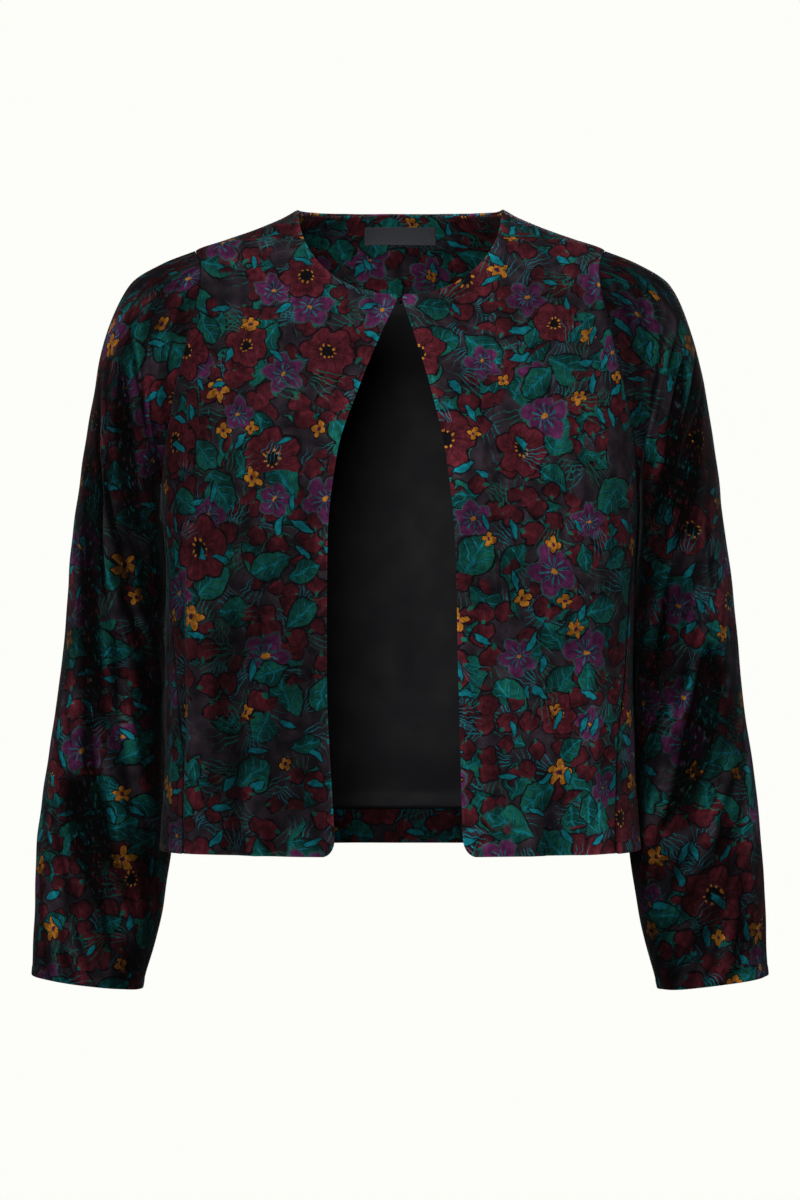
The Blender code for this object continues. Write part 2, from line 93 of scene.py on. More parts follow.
FRONT_EDGE_STEPS_ABOVE_BREAK = 5
WIRE_RADIUS = 0.00045
HOOK_DROP = 0.0845
HOOK_SPREAD = 0.0022
HOOK_BEHIND_CLOTH = 0.0012
EYE_REACH = 0.0016
EYE_FOOT = 0.0075
HOOK_FOOT = 0.0085
HOOK_BEND_RADIUS = 0.0014
BEND_STEPS = 24

# How finely the cloth is divided here
ROWS_PER_STEP = 5
LOWER_ROWS = 84
CORNER_ROWS = 8
FRONT_COLUMNS = 60
BACK_HALF_COLUMNS = 56
SIDE_COLUMNS_PER_STEP = 5
SHOULDER_ROWS = 20
HEM_FACING_ROWS = 8
SLEEVE_ROWS = 216
SLEEVE_COLUMNS = 168
RIM_STEPS = 3

Section = namedtuple("Section", "drop half_width front back square")
TORSO = rows(Section, [
    (0.0000, 0.0885, 0.035, 0.072, 2.00),
    (0.0052, 0.0985, 0.037, 0.074, 2.00),
    (0.0157, 0.1230, 0.042, 0.079, 2.00),
    (0.0261, 0.1520, 0.047, 0.083, 2.00),
    (0.0357, 0.1780, 0.052, 0.087, 2.00),
    (0.0680, 0.1940, 0.072, 0.096, 2.10),
    (0.1120, 0.2030, 0.095, 0.103, 2.15),
    (0.1640, 0.2070, 0.112, 0.107, 2.25),
    (0.2380, 0.2070, 0.125, 0.107, 2.40),
    (0.3400, 0.2030, 0.124, 0.100, 2.40),
    (0.4500, 0.2040, 0.119, 0.098, 2.40),
    (0.5560, 0.2080, 0.117, 0.103, 2.40),
])

FrontEdge = namedtuple("FrontEdge", "drop right_x left_x")
FRONT_EDGES = rows(FrontEdge, [
    (0.079, -0.0004, 0.0004),
    (0.110, -0.0148, 0.0110),
    (0.160, -0.0350, 0.0260),
    (0.215, -0.0530, 0.0385),
    (0.290, -0.0612, 0.0465),
    (0.400, -0.0618, 0.0492),
    (0.556, -0.0545, 0.0535),
])

SleeveRing = namedtuple("SleeveRing", "outer_x outer_drop inner_x inner_drop middle_y half_depth")
SLEEVE = rows(SleeveRing, [
    (0.1780, 0.0357, 0.2070, 0.2380, 0.0055, 0.0525),
    (0.2066, 0.0465, 0.2080, 0.2395, 0.0070, 0.0560),
    (0.2345, 0.0640, 0.2050, 0.2425, 0.0100, 0.0620),
    (0.2535, 0.1040, 0.2015, 0.2500, 0.0150, 0.0690),
    (0.2690, 0.1700, 0.1990, 0.2700, 0.0230, 0.0750),
    (0.2829, 0.2570, 0.1980, 0.3140, 0.0330, 0.0740),
    (0.2931, 0.3440, 0.1975, 0.3820, 0.0410, 0.0700),
    (0.3034, 0.4320, 0.1990, 0.4560, 0.0470, 0.0650),
    (0.3150, 0.5200, 0.2005, 0.5330, 0.0500, 0.0580),
    (0.3215, 0.5930, 0.2080, 0.6070, 0.0480, 0.0490),
    (0.3245, 0.6690, 0.2255, 0.6815, 0.0430, 0.0400),
])
SLEEVE_SQUARE = 2.15
CAP_BLEND = 0.16
SLEEVE_REST_GAP = 0.002
SLEEVE_REST_SOFTNESS = 0.006
SLEEVE_REST_FROM = 0.10
SLEEVE_REST_PAST_HEM = 0.035
CREASE_CLEAR = 0.012
CREASE_CLEAR_FROM = 0.42
CREASE_CLEAR_OVER = 0.06

# The solids' soft folds, then creases and waves of the cloth that only show here.
# Body: degrees round from the centre front, drops, width across and depth (a ridge is negative)
BodyFold = namedtuple("BodyFold", "deg_top drop_top deg_low drop_low width depth")
BODY_FOLDS = rows(BodyFold, [
    (-44, 0.33, -40, 0.60, 0.030, 0.0050),
    (-58, 0.30, -54, 0.60, 0.034, -0.0040),
    (-26, 0.44, -27, 0.60, 0.024, 0.0025),
    (33, 0.46, 35, 0.60, 0.026, 0.0030),
    (48, 0.38, 47, 0.60, 0.032, -0.0030),
    (150, 0.30, 146, 0.60, 0.040, 0.0045),
    (-148, 0.28, -151, 0.60, 0.044, 0.0050),
    (176, 0.40, 178, 0.60, 0.034, 0.0025),
    (130, 0.36, 128, 0.60, 0.034, -0.0035),
    (-128, 0.34, -126, 0.60, 0.034, -0.0030),
])
BODY_CREASES = rows(BodyFold, [
    (-66, 0.30, -60, 0.52, 0.012, 0.0039),
    (-50, 0.40, -47, 0.60, 0.013, 0.0033),
    (-35, 0.47, -33, 0.60, 0.012, -0.0024),
    (-74, 0.21, -52, 0.27, 0.012, 0.0024),
    (28, 0.49, 29, 0.60, 0.012, -0.0021),
    (42, 0.47, 41, 0.60, 0.014, 0.0027),
    (56, 0.42, 55, 0.60, 0.013, 0.0024),
    (74, 0.215, 54, 0.285, 0.013, 0.0025),
    (66, 0.16, 50, 0.21, 0.011, 0.0016),
    (-64, 0.14, -50, 0.20, 0.012, 0.0018),
    (108, 0.25, 136, 0.33, 0.014, 0.0030),
    (-106, 0.25, -132, 0.32, 0.014, 0.0027),
    (112, 0.20, 138, 0.25, 0.012, 0.0021),
    (160, 0.42, 163, 0.60, 0.013, -0.0023),
    (-168, 0.46, -166, 0.60, 0.014, 0.0024),
    (-138, 0.44, -137, 0.60, 0.012, 0.0023),
    (140, 0.05, 172, 0.08, 0.014, 0.0018),
    (-146, 0.05, -170, 0.075, 0.014, 0.0018),
])

# Sleeve: shares of its length, and degrees round it from the outer line, through the front (90)
# to the inner line (180) and the back (270)
SleeveFold = namedtuple("SleeveFold", "share_from deg_from share_to deg_to width depth")
LEFT_SLEEVE_FOLDS = rows(SleeveFold, [
    (0.12, 62, 0.33, 118, 0.026, 0.0060),
    (0.19, 40, 0.40, 104, 0.028, 0.0055),
    (0.55, 64, 0.80, 122, 0.030, 0.0065),
    (0.60, 96, 0.86, 150, 0.030, -0.0035),
    (0.14, 290, 0.36, 236, 0.030, 0.0055),
    (0.58, 296, 0.74, 236, 0.030, 0.0060),
])
RIGHT_SLEEVE_FOLDS = rows(SleeveFold, [
    (0.14, 70, 0.36, 112, 0.026, 0.0060),
    (0.30, 44, 0.72, 92, 0.030, 0.0065),
    (0.36, 66, 0.76, 120, 0.028, -0.0040),
    (0.72, 60, 0.90, 112, 0.030, 0.0045),
    (0.16, 294, 0.38, 240, 0.030, 0.0055),
    (0.54, 300, 0.72, 240, 0.030, 0.0060),
])
LEFT_SLEEVE_CREASES = rows(SleeveFold, [
    (0.105, 42, 0.090, 118, 0.0070, 0.0034),
    (0.127, 38, 0.132, 124, 0.0070, 0.0042),
    (0.150, 28, 0.202, 118, 0.0068, 0.0040),
    (0.184, 14, 0.256, 108, 0.0075, 0.0036),
    (0.214, 6, 0.302, 96, 0.0080, 0.0030),
    (0.31, 70, 0.43, 102, 0.0080, 0.0030),
    (0.38, 56, 0.49, 64, 0.0075, 0.0030),
    (0.52, 60, 0.80, 131, 0.0090, 0.0052),
    (0.62, 74, 0.86, 140, 0.010, 0.0048),
    (0.70, 40, 0.84, 84, 0.012, 0.0029),
    (0.42, 96, 0.60, 140, 0.011, 0.0035),
    (0.86, 60, 0.99, 74, 0.012, 0.0022),
    (0.10, 282, 0.30, 228, 0.011, 0.0042),
    (0.22, 310, 0.42, 252, 0.012, 0.0038),
    (0.56, 310, 0.70, 246, 0.011, 0.0048),
    (0.64, 292, 0.80, 226, 0.012, 0.0042),
    (0.84, 300, 0.98, 286, 0.012, 0.0024),
])
RIGHT_SLEEVE_CREASES = rows(SleeveFold, [
    (0.113, 46, 0.132, 124, 0.0075, 0.0040),
    (0.088, 68, 0.142, 136, 0.0075, 0.0040),
    (0.20, 30, 0.71, 125, 0.0085, 0.0055),
    (0.30, 62, 0.46, 104, 0.0080, 0.0034),
    (0.46, 94, 0.61, 140, 0.0085, 0.0045),
    (0.52, 82, 0.77, 119, 0.0090, 0.0042),
    (0.61, 69, 0.83, 95, 0.0100, 0.0036),
    (0.80, 76, 0.97, 108, 0.012, 0.0029),
    (0.12, 286, 0.32, 232, 0.011, 0.0045),
    (0.26, 306, 0.46, 246, 0.012, 0.0035),
    (0.52, 314, 0.68, 250, 0.011, 0.0045),
    (0.60, 290, 0.76, 224, 0.012, 0.0045),
    (0.86, 296, 0.99, 280, 0.012, 0.0022),
])
BODY_METRES_PER_DEGREE = 0.0029
SLEEVE_METRES_PER_DEGREE = 0.0011
RIPPLE = 0.0005
RIPPLE_WAVES = (0.11, 0.075, 0.05, 0.034, 0.024)
RIPPLE_TURNS = 3
RIPPLE_STRETCH = 0.6
RIPPLE_EVEN = 0.15
BODY_RIPPLE_SEED = 11
BODY_CREASE_SEED = 3.0
CALM_DROP = 0.26
CALM_OVER = 0.05
CALM_SHARE = 0.35
CAP_CALM = 0.06
SLEEVE_RIPPLE_RADIUS = 0.06
FOLD_TAPER = 0.7
CREASE_TAPER = 0.8
CREASE_STEP = 1.7
CREASE_WANDER = 0.35
CREASE_WANDER_TURNS = 5.0
CREASE_CHANGE = 0.2
CREASE_CHANGE_TURNS = 9.0
CREASE_CHANGE_STEP = 2.3
TROUGH_POWER = 1.6
TROUGH_STEEPNESS = 2.2
RIDGE_SHARE = 0.55
RIDGE_OFF = 1.25
RIDGE_STEEPNESS = 2.0
FLAT_STEPS = 16
FLAT_TURN = 0.005
FLAT_DROP = 0.0005
CUFF_ROLL_FROM = 0.985
CUFF_ROLL_LENGTH = 0.008


def mix(a, b, share):
    return a + (b - a) * share


def smooth_step(value):
    value = np.clip(value, 0.0, 1.0)
    return value * value * (3 - 2 * value)


def signed_power(value, power):
    return np.sign(value) * np.abs(value) ** power


def unit(vectors):
    return vectors / np.maximum(np.linalg.norm(vectors, axis=-1, keepdims=True), 1e-12)


def curve_at(places, values, at):
    """A smooth curve through the values that doesn't swing past them, straight past either end."""
    places, values = np.asarray(places, float), np.asarray(values, float)
    steps = np.diff(values) / np.diff(places)
    product = steps[:-1] * steps[1:]
    total = np.where(product > 0, steps[:-1] + steps[1:], 1.0)
    inner = np.where(product > 0, 2 * product / total, 0.0)
    slopes = np.concatenate([steps[:1], inner, steps[-1:]])
    at = np.asarray(at, float)
    i = np.clip(np.searchsorted(places, at, side="right") - 1, 0, len(places) - 2)
    span = places[i + 1] - places[i]
    t = np.clip((at - places[i]) / span, 0.0, 1.0)
    inside = ((1 + 2 * t) * (1 - t) ** 2 * values[i] + t * (1 - t) ** 2 * span * slopes[i]
              + t * t * (3 - 2 * t) * values[i + 1] + t * t * (t - 1) * span * slopes[i + 1])
    before = slopes[0] * np.minimum(at - places[0], 0.0)
    after = slopes[-1] * np.maximum(at - places[-1], 0.0)
    return inside + before + after


def row_at(table, drop):
    """The row of a table at any drops, read smoothly between its rows."""
    places = [row.drop for row in table]
    return type(table[0])(*[curve_at(places, column, drop) for column in zip(*table)])


def fold_height(lines, across, along):
    """How far folds push the cloth out at places (across, along), in metres. Each line is
    across from, along from, across to, along to, width and depth."""
    total = np.zeros_like(across)
    for x0, y0, x1, y1, width, depth in lines:
        line = np.array([x1 - x0, y1 - y0])
        share = ((across - x0) * line[0] + (along - y0) * line[1]) / (line @ line)
        off = np.hypot(across - x0 - share * line[0], along - y0 - share * line[1]) / width
        bell = np.where(off < 1, 0.5 + 0.5 * np.cos(np.pi * np.minimum(off, 1.0)), 0.0)
        taper = np.sin(np.pi * np.clip(share, 0.0, 1.0)) ** FOLD_TAPER
        total -= depth * bell * taper
    return total


def crease_height(lines, across, along, seed):
    """Creases: a soft trough that wanders a little along its line, with a ridge beside it."""
    total = np.zeros_like(across)
    for number, (x0, y0, x1, y1, width, depth) in enumerate(lines):
        line = np.array([x1 - x0, y1 - y0])
        length = math.hypot(*line)
        share = ((across - x0) * line[0] + (along - y0) * line[1]) / length ** 2
        off = ((across - x0) * line[1] - (along - y0) * line[0]) / length
        phase = seed + CREASE_STEP * number
        off = (off + CREASE_WANDER * width * np.sin(CREASE_WANDER_TURNS * share + phase)) / width
        taper = np.sin(np.pi * np.clip(share, 0.0, 1.0)) ** CREASE_TAPER
        change = CREASE_CHANGE * np.sin(CREASE_CHANGE_TURNS * share + CREASE_CHANGE_STEP * phase)
        taper = taper * (1 - CREASE_CHANGE + change)
        trough = np.exp(-np.abs(off) ** TROUGH_POWER * TROUGH_STEEPNESS)
        ridge = RIDGE_SHARE * np.exp(-(off - RIDGE_OFF) ** 2 * RIDGE_STEEPNESS)
        total -= depth * taper * (trough - ridge)
    return total


def ripple(across, along, seed):
    """The faint unevenness of cloth, the same on each run."""
    rng = np.random.default_rng(seed)
    total = np.zeros_like(across)
    for wave in RIPPLE_WAVES:
        for _ in range(RIPPLE_TURNS):
            turn, phase = rng.uniform(0, 2 * np.pi, 2)
            place = across * math.cos(turn) + along * math.sin(turn) * RIPPLE_STRETCH
            total += wave * np.sin(2 * np.pi * place / wave + phase)
    return RIPPLE * total / RIPPLE_EVEN


# The body's surface

def torso_base(phi, drop):
    row = row_at(TORSO, drop)
    power = 2 / row.square
    depth = np.where(np.cos(phi) > 0, row.front, row.back)
    x = row.half_width * signed_power(np.sin(phi), power)
    y = -depth * signed_power(np.cos(phi), power)
    return np.stack([x, y, NECK_POINT_Z - drop + 0 * phi], axis=-1)


def torso_normal(phi, drop):
    step_phi, step_drop = math.radians(1.0), 0.001
    around = torso_base(phi + step_phi, drop) - torso_base(phi - step_phi, drop)
    down = torso_base(phi, drop + step_drop) - torso_base(phi, drop - step_drop)
    return unit(np.cross(down, around))


def body_lines(folds):
    k = BODY_METRES_PER_DEGREE
    return [(f.deg_top * k, f.drop_top, f.deg_low * k, f.drop_low, f.width, f.depth) for f in folds]


def body_relief(phi, drop):
    """Folds, creases and ripple of the body's cloth; past the centre back the angle starts again."""
    degrees = (np.degrees(phi) + 180) % 360 - 180
    total = ripple(degrees * BODY_METRES_PER_DEGREE, drop, BODY_RIPPLE_SEED)
    for turn in (-360, 0, 360):
        across = (degrees + turn) * BODY_METRES_PER_DEGREE
        total += crease_height(body_lines(BODY_CREASES), across, drop, BODY_CREASE_SEED)
    below_armhole = smooth_step((drop - CALM_DROP) / CALM_OVER)
    solid = fold_height(body_lines(BODY_FOLDS), np.degrees(phi) * BODY_METRES_PER_DEGREE, drop)
    return solid + total * mix(CALM_SHARE, 1.0, below_armhole)


def torso_point(phi, drop, out=0.0):
    return torso_base(phi, drop) + torso_normal(phi, drop) * (body_relief(phi, drop) + out)[..., None]


def phi_of_x(x, drop):
    row = row_at(TORSO, drop)
    share = np.minimum(1.0, np.abs(x) / row.half_width)
    return np.sign(x) * np.arcsin(share ** (row.square / 2))


def phi_of_y(y, drop):
    row = row_at(TORSO, drop)
    depth = np.where(y < 0, row.front, row.back)
    angle = np.arccos(np.minimum(1.0, np.abs(y) / depth) ** (row.square / 2))
    return np.where(y < 0, angle, np.pi - angle)


def armhole(step):
    """Angles and drops on the left armhole, from the shoulder point down the front and up the back."""
    psi = 2 * np.pi * np.asarray(step, float) / ARMHOLE_STEPS
    drop = mix(SHOULDER_POINT_DROP, UNDERARM_DROP, (1 - np.cos(psi)) / 2)
    depth = np.where(np.sin(psi) > 0, ARMHOLE_FRONT, ARMHOLE_BACK)
    return phi_of_y(-depth * np.sin(psi), drop), drop


def seam(top_step, hem_deg, drop):
    """Angles of a side panel's seam, from the armhole to the hem."""
    top_phi, top_drop = armhole(top_step)
    share = (drop - top_drop) / (HEM_DROP - top_drop)
    return mix(top_phi, math.radians(hem_deg), smooth_step(share))


def corner_shift(from_end, tall, wide):
    """How far a rounded corner draws an edge back, at a distance from the edge's end."""
    reach = np.clip(1 - from_end / tall, 0.0, 1.0)
    return wide * (1 - np.sqrt(1 - reach ** 2))


def front_edge_x(side, drop):
    """How far across the front's free edge lies, rounded at the neck and at the hem."""
    row = row_at(FRONT_EDGES, drop)
    neck = corner_shift(drop - FRONT_NECK_DROP, NECK_CORNER_HEIGHT, NECK_CORNER_WIDTH)
    hem = corner_shift(HEM_DROP - drop, HEM_CORNER_HEIGHT, HEM_CORNER_WIDTH)
    return (row.left_x if side > 0 else row.right_x) + side * (neck + hem)


def front_edge(side, drop):
    return phi_of_x(front_edge_x(side, drop), drop)


def neck_edge(side, share):
    angle = share * np.pi / 2
    drop = FRONT_NECK_DROP * np.cos(angle)
    x = mix(front_edge_x(side, FRONT_NECK_DROP), side * NECK_HALF_WIDTH, np.sin(angle))
    phi = phi_of_x(x, drop)
    phi[share >= 1] = side * np.pi / 2
    drop[share >= 1] = 0.0
    return phi, drop


def shares(count):
    return np.arange(count + 1) / count


def front_places(side):
    """Angles and drops of a front: rows from the hem to the shoulder seam, columns from the edge."""
    _, seam_top = armhole(SIDE_FRONT_STEP)
    low, high = HEM_DROP - HEM_CORNER_HEIGHT, FRONT_EDGE_BREAK_DROP
    corner = HEM_DROP - HEM_CORNER_HEIGHT * shares(CORNER_ROWS)[:-1] ** 2
    up = shares(LOWER_ROWS)
    lower = np.concatenate([corner, mix(low, seam_top, up)])
    steps = SIDE_FRONT_STEP - np.arange(1, SIDE_FRONT_STEP * ROWS_PER_STEP + 1) / ROWS_PER_STEP
    arm_phi, arm_drop = armhole(steps)
    end_phi = side * np.concatenate([seam(SIDE_FRONT_STEP, SIDE_FRONT_HEM_DEG, lower), arm_phi])
    end_drop = np.concatenate([lower, arm_drop])
    edge_rows = FRONT_EDGE_STEPS_ABOVE_BREAK * ROWS_PER_STEP
    to_neck = 1 - (1 - shares(edge_rows)[1:]) ** NECK_CORNER_CROWDING
    edge = np.concatenate([corner, mix(low, high, up), mix(high, FRONT_NECK_DROP, to_neck)])
    neck_phi, neck_drop = neck_edge(side, shares(len(steps) - edge_rows)[1:])
    start_phi = np.concatenate([front_edge(side, edge), neck_phi])
    start_drop = np.concatenate([edge, neck_drop])
    share = shares(FRONT_COLUMNS)[None, :]
    return (mix(start_phi[:, None], end_phi[:, None], share),
            mix(start_drop[:, None], end_drop[:, None], share))


def back_places():
    """Angles and drops of the back, right to left, with rows where its inner layers meet."""
    _, seam_top = armhole(SIDE_BACK_STEP)
    facing_top = HEM_DROP - HEM_FACING_HEIGHT
    hem = mix(HEM_DROP, facing_top, shares(HEM_FACING_ROWS)[:-1])
    lower = np.concatenate([hem, mix(facing_top, seam_top, shares(LOWER_ROWS))])
    count = (ARMHOLE_STEPS - SIDE_BACK_STEP) * ROWS_PER_STEP
    arm_phi, arm_drop = armhole(SIDE_BACK_STEP + np.arange(1, count + 1) / ROWS_PER_STEP)
    top = shares(SHOULDER_ROWS)[1:]
    end_phi = np.concatenate([seam(SIDE_BACK_STEP, SIDE_BACK_HEM_DEG, lower), arm_phi,
                              np.full(SHOULDER_ROWS, np.pi / 2)])
    end_drop = np.concatenate([lower, arm_drop, mix(SHOULDER_POINT_DROP, 0.0, top)])
    middle = np.concatenate([hem, mix(facing_top, FACING_CB_DROP, shares(LOWER_ROWS + count)),
                             mix(FACING_CB_DROP, -BACK_NECK_RISE, top)])
    share = shares(BACK_HALF_COLUMNS)[None, :]
    phi = mix(np.pi, end_phi[:, None], share)
    drop = mix(middle[:, None], end_drop[:, None], smooth_step(share))
    phi = np.concatenate([2 * np.pi - phi[:, :0:-1], phi], axis=1)
    return phi, np.concatenate([drop[:, :0:-1], drop], axis=1)


def side_places(side):
    """Angles and drops of a side panel: rows from the hem to the underarm."""
    count = (SIDE_BACK_STEP - SIDE_FRONT_STEP) * SIDE_COLUMNS_PER_STEP
    top_phi, top_drop = armhole(SIDE_FRONT_STEP + np.arange(count + 1) / SIDE_COLUMNS_PER_STEP)
    share, up = shares(count)[None, :], shares(LOWER_ROWS)[:, None]
    front = seam(SIDE_FRONT_STEP, SIDE_FRONT_HEM_DEG, mix(HEM_DROP, top_drop[0], up))
    back = seam(SIDE_BACK_STEP, SIDE_BACK_HEM_DEG, mix(HEM_DROP, top_drop[-1], up))
    straight = mix(top_phi[0], top_phi[-1], share)
    phi = mix(front, back, share) + (top_phi[None, :] - straight) * up
    return side * phi, mix(HEM_DROP, top_drop[None, :], up)


def label_places():
    drop = LABEL_TOP_DROP + LABEL_HEIGHT * (1 - shares(LABEL_ROWS))[:, None]
    half = phi_of_x(LABEL_WIDTH / 2, drop)
    return np.pi + half * (1 - 2 * shares(LABEL_COLUMNS)[None, :]), drop + 0 * half


def label_ends(phi, drop):
    """The folded-under ends of the label, which lift it a little."""
    x = np.abs(torso_base(phi, drop)[..., 0])
    return LABEL_FOLD_CLOTH * smooth_step((x - LABEL_WIDTH / 2 + LABEL_FOLD) / LABEL_FOLD_CLOTH)


def laid_flat(phi, drop, start_phi, start_drop):
    """Where places on the body lie on the flat cloth, in metres across and up."""
    across, up = np.zeros_like(phi), np.zeros_like(phi)
    for i in range(FLAT_STEPS):
        share = (i + 0.5) / FLAT_STEPS
        at = mix(start_phi, phi, share)
        step = (phi - start_phi) / FLAT_STEPS
        size = torso_base(at + FLAT_TURN, drop) - torso_base(at - FLAT_TURN, drop)
        across += np.linalg.norm(size, axis=-1) / (2 * FLAT_TURN) * step
        at = mix(start_drop, drop, share)
        step = (start_drop - drop) / FLAT_STEPS
        size = torso_base(phi, at + FLAT_DROP) - torso_base(phi, at - FLAT_DROP)
        up += np.linalg.norm(size, axis=-1) / (2 * FLAT_DROP) * step
    return np.stack([across, up], axis=-1)


# The sleeves' surface

def sleeve_places():
    steps = [math.hypot(b.outer_x - a.outer_x, b.outer_drop - a.outer_drop)
             for a, b in zip(SLEEVE, SLEEVE[1:])]
    return np.concatenate([[0.0], np.cumsum(steps)])


SLEEVE_PLACES = sleeve_places()
SLEEVE_LENGTH = SLEEVE_PLACES[-1]
SECTION_HALF_WIDTH = 0.030
ARC_STEPS = 24


def sleeve_ring_point(share, psi):
    ring = SleeveRing(*[curve_at(SLEEVE_PLACES, column, share * SLEEVE_LENGTH) for column in zip(*SLEEVE)])
    power = 2 / SLEEVE_SQUARE
    cos, sin = signed_power(np.cos(psi), power), signed_power(np.sin(psi), power)
    x = mix(ring.inner_x, ring.outer_x, (1 + cos) / 2)
    drop = mix(ring.inner_drop, ring.outer_drop, (1 + cos) / 2)
    return np.stack([x, ring.middle_y - ring.half_depth * sin, NECK_POINT_Z - drop], axis=-1)


def sleeve_base(share, psi):
    """Places on the left sleeve, led from the armhole's own curve into the rings."""
    point = sleeve_ring_point(share, psi)
    to_armhole = 1 - smooth_step(share / CAP_BLEND)
    phi, drop = armhole(psi / (2 * np.pi) * ARMHOLE_STEPS)
    start = torso_base(phi, drop) + np.array([SEAM_GAP, 0, 0])
    point = point + (start - sleeve_ring_point(0.0 * share, psi)) * to_armhole[..., None]
    return resting(point, smooth_step(share / SLEEVE_REST_FROM))


def body_limit(y, drop):
    """How far a place lies within the body's depth, and how far out the body reaches there."""
    row = row_at(TORSO, np.minimum(drop, HEM_DROP))
    depth = np.where(y < 0, row.front, row.back)
    inside = 1 - (np.abs(y) / depth) ** row.square
    return inside, row.half_width * np.maximum(inside, 0.0) ** (1 / row.square) + SLEEVE_REST_GAP


def free_to_crease(point):
    """1 where the sleeve's creases are whole, falling to 0 where it rests on the body near the hem."""
    drop = NECK_POINT_Z - point[..., 2]
    _, limit = body_limit(point[..., 1], drop)
    resting_low = smooth_step((drop - CREASE_CLEAR_FROM) / CREASE_CLEAR_OVER)
    resting_low = resting_low * (1 - smooth_step((drop - HEM_DROP) / SLEEVE_REST_PAST_HEM))
    return 1 - resting_low * (1 - smooth_step((point[..., 0] - limit) / CREASE_CLEAR))


def resting(point, share):
    """Places on the sleeve, kept just clear of the body that it hangs against."""
    x, y = point[..., 0], point[..., 1]
    drop = NECK_POINT_Z - point[..., 2]
    inside, limit = body_limit(y, drop)
    soft = SLEEVE_REST_SOFTNESS
    over = x - limit
    pushed = np.where(over > -soft, limit + (over + soft) ** 2 / (4 * soft), limit)
    pushed = np.where((over >= soft) | (inside <= 0), x, pushed)
    share = share * (1 - smooth_step((drop - HEM_DROP) / SLEEVE_REST_PAST_HEM))
    return np.stack([mix(x, pushed, share), y, point[..., 2]], axis=-1)


def sleeve_normal(share, psi):
    step_share, step_psi = 0.004, math.radians(2.0)
    along = sleeve_base(share + step_share, psi) - sleeve_base(np.maximum(share - step_share, 0.0), psi)
    around = sleeve_base(share, psi + step_psi) - sleeve_base(share, psi - step_psi)
    return unit(np.cross(around, along))


def sleeve_flat(point):
    """Where places on the left sleeve lie on its flat cloth: round a level section from the outer
    line, and down along that line."""
    x, y = point[..., 0], point[..., 1]
    drop = NECK_POINT_Z - point[..., 2]
    column = SleeveRing(*zip(*SLEEVE))
    along = curve_at(column.outer_drop, SLEEVE_PLACES, drop)
    outer = curve_at(column.outer_drop, column.outer_x, drop)
    inner = curve_at(column.inner_drop, column.inner_x, np.maximum(drop, UNDERARM_DROP))
    half = np.maximum((outer - inner) / 2, SECTION_HALF_WIDTH)
    deep = curve_at(SLEEVE_PLACES, column.half_depth, along)
    turn = np.arctan2((curve_at(SLEEVE_PLACES, column.middle_y, along) - y) / deep, (x - outer) / half + 1)
    outer_line = turn.shape[1] // 2
    behind = np.unwrap(turn[:, outer_line::-1], axis=1)[:, :0:-1]
    turn = np.concatenate([behind, np.unwrap(turn[:, outer_line:], axis=1)], axis=1)
    around = np.zeros_like(turn)
    for i in range(ARC_STEPS):
        at = turn * (i + 0.5) / ARC_STEPS
        around += np.hypot(half * np.sin(at), deep * np.cos(at)) * turn / ARC_STEPS
    return np.stack([around, -along], axis=-1)


def sleeve_lines(folds):
    k = SLEEVE_METRES_PER_DEGREE
    return [(f.deg_from * k, f.share_from * SLEEVE_LENGTH, f.deg_to * k, f.share_to * SLEEVE_LENGTH,
             f.width, f.depth) for f in folds]


def sleeve_relief(folds, creases, share, psi, seed, free):
    across = np.degrees(psi) * SLEEVE_METRES_PER_DEGREE
    along = share * SLEEVE_LENGTH
    fine = crease_height(sleeve_lines(creases), across, along, seed)
    turns = enumerate((np.cos(psi), np.sin(psi)))
    waves = sum(ripple(turn * SLEEVE_RIPPLE_RADIUS, along, seed + i) for i, turn in turns)
    fine = (fine + waves) * smooth_step(share / CAP_CALM) * free
    return fold_height(sleeve_lines(folds), across, along) + fine


# Cloth from grids of points

FREE_EDGE = CLOTH / 2
SEAM_BULGE = 0.15
SEAM_EDGE = SEAM_BULGE * CLOTH / 2 + SEAM_GAP / 2
# Painted shade along seams: the share of colour kept at a seam's edge
PAINTED_SEAM_SHADE = 0.08
ROLL_HEIGHT = 0.0006
ROLL_STEPS = 3
LINING_FOLD = 0.0024
LINING_FOLD_ROWS = 4
LINING_WAVE = 0.0011
LINING_TURNS = 11.0
LINING_SLOW_TURNS = 5.0
SEAM_ROLL = 0.0015
ROLL_END = 0.004
ROLL_GAP = 0.0008
LAYER_SHARE = 0.97
LINING_TOP_GAP = 0.0005
ROLL_POINTS = 96


def round_edge(grid):
    """A grid's outline, once round and back to its first corner."""
    return np.concatenate([grid[0, :-1], grid[:-1, -1], grid[-1, :0:-1], grid[:0:-1, 0], grid[0, :1]])


def strips(grid):
    return np.stack([grid[:-1, :-1], grid[:-1, 1:], grid[1:, 1:], grid[1:, :-1]], axis=-1).reshape(-1, 4)


def facing_out(points, faces):
    a, b, c, d = [points[faces[:, k]] for k in range(4)]
    return (np.cross(b - a, c - a) * a).sum() + (np.cross(c - a, d - a) * a).sum() > 0


EDGES = {"low": np.s_[0, :], "high": np.s_[-1, :], "first": np.s_[:, 0], "last": np.s_[:, -1]}


def edge_bulge(shape, seams):
    """How round the cloth's edge is: half round where it is free, and flatter along seams."""
    bulge = np.ones(shape)
    for edge in seams:
        bulge[EDGES[edge]] = SEAM_BULGE
    return bulge


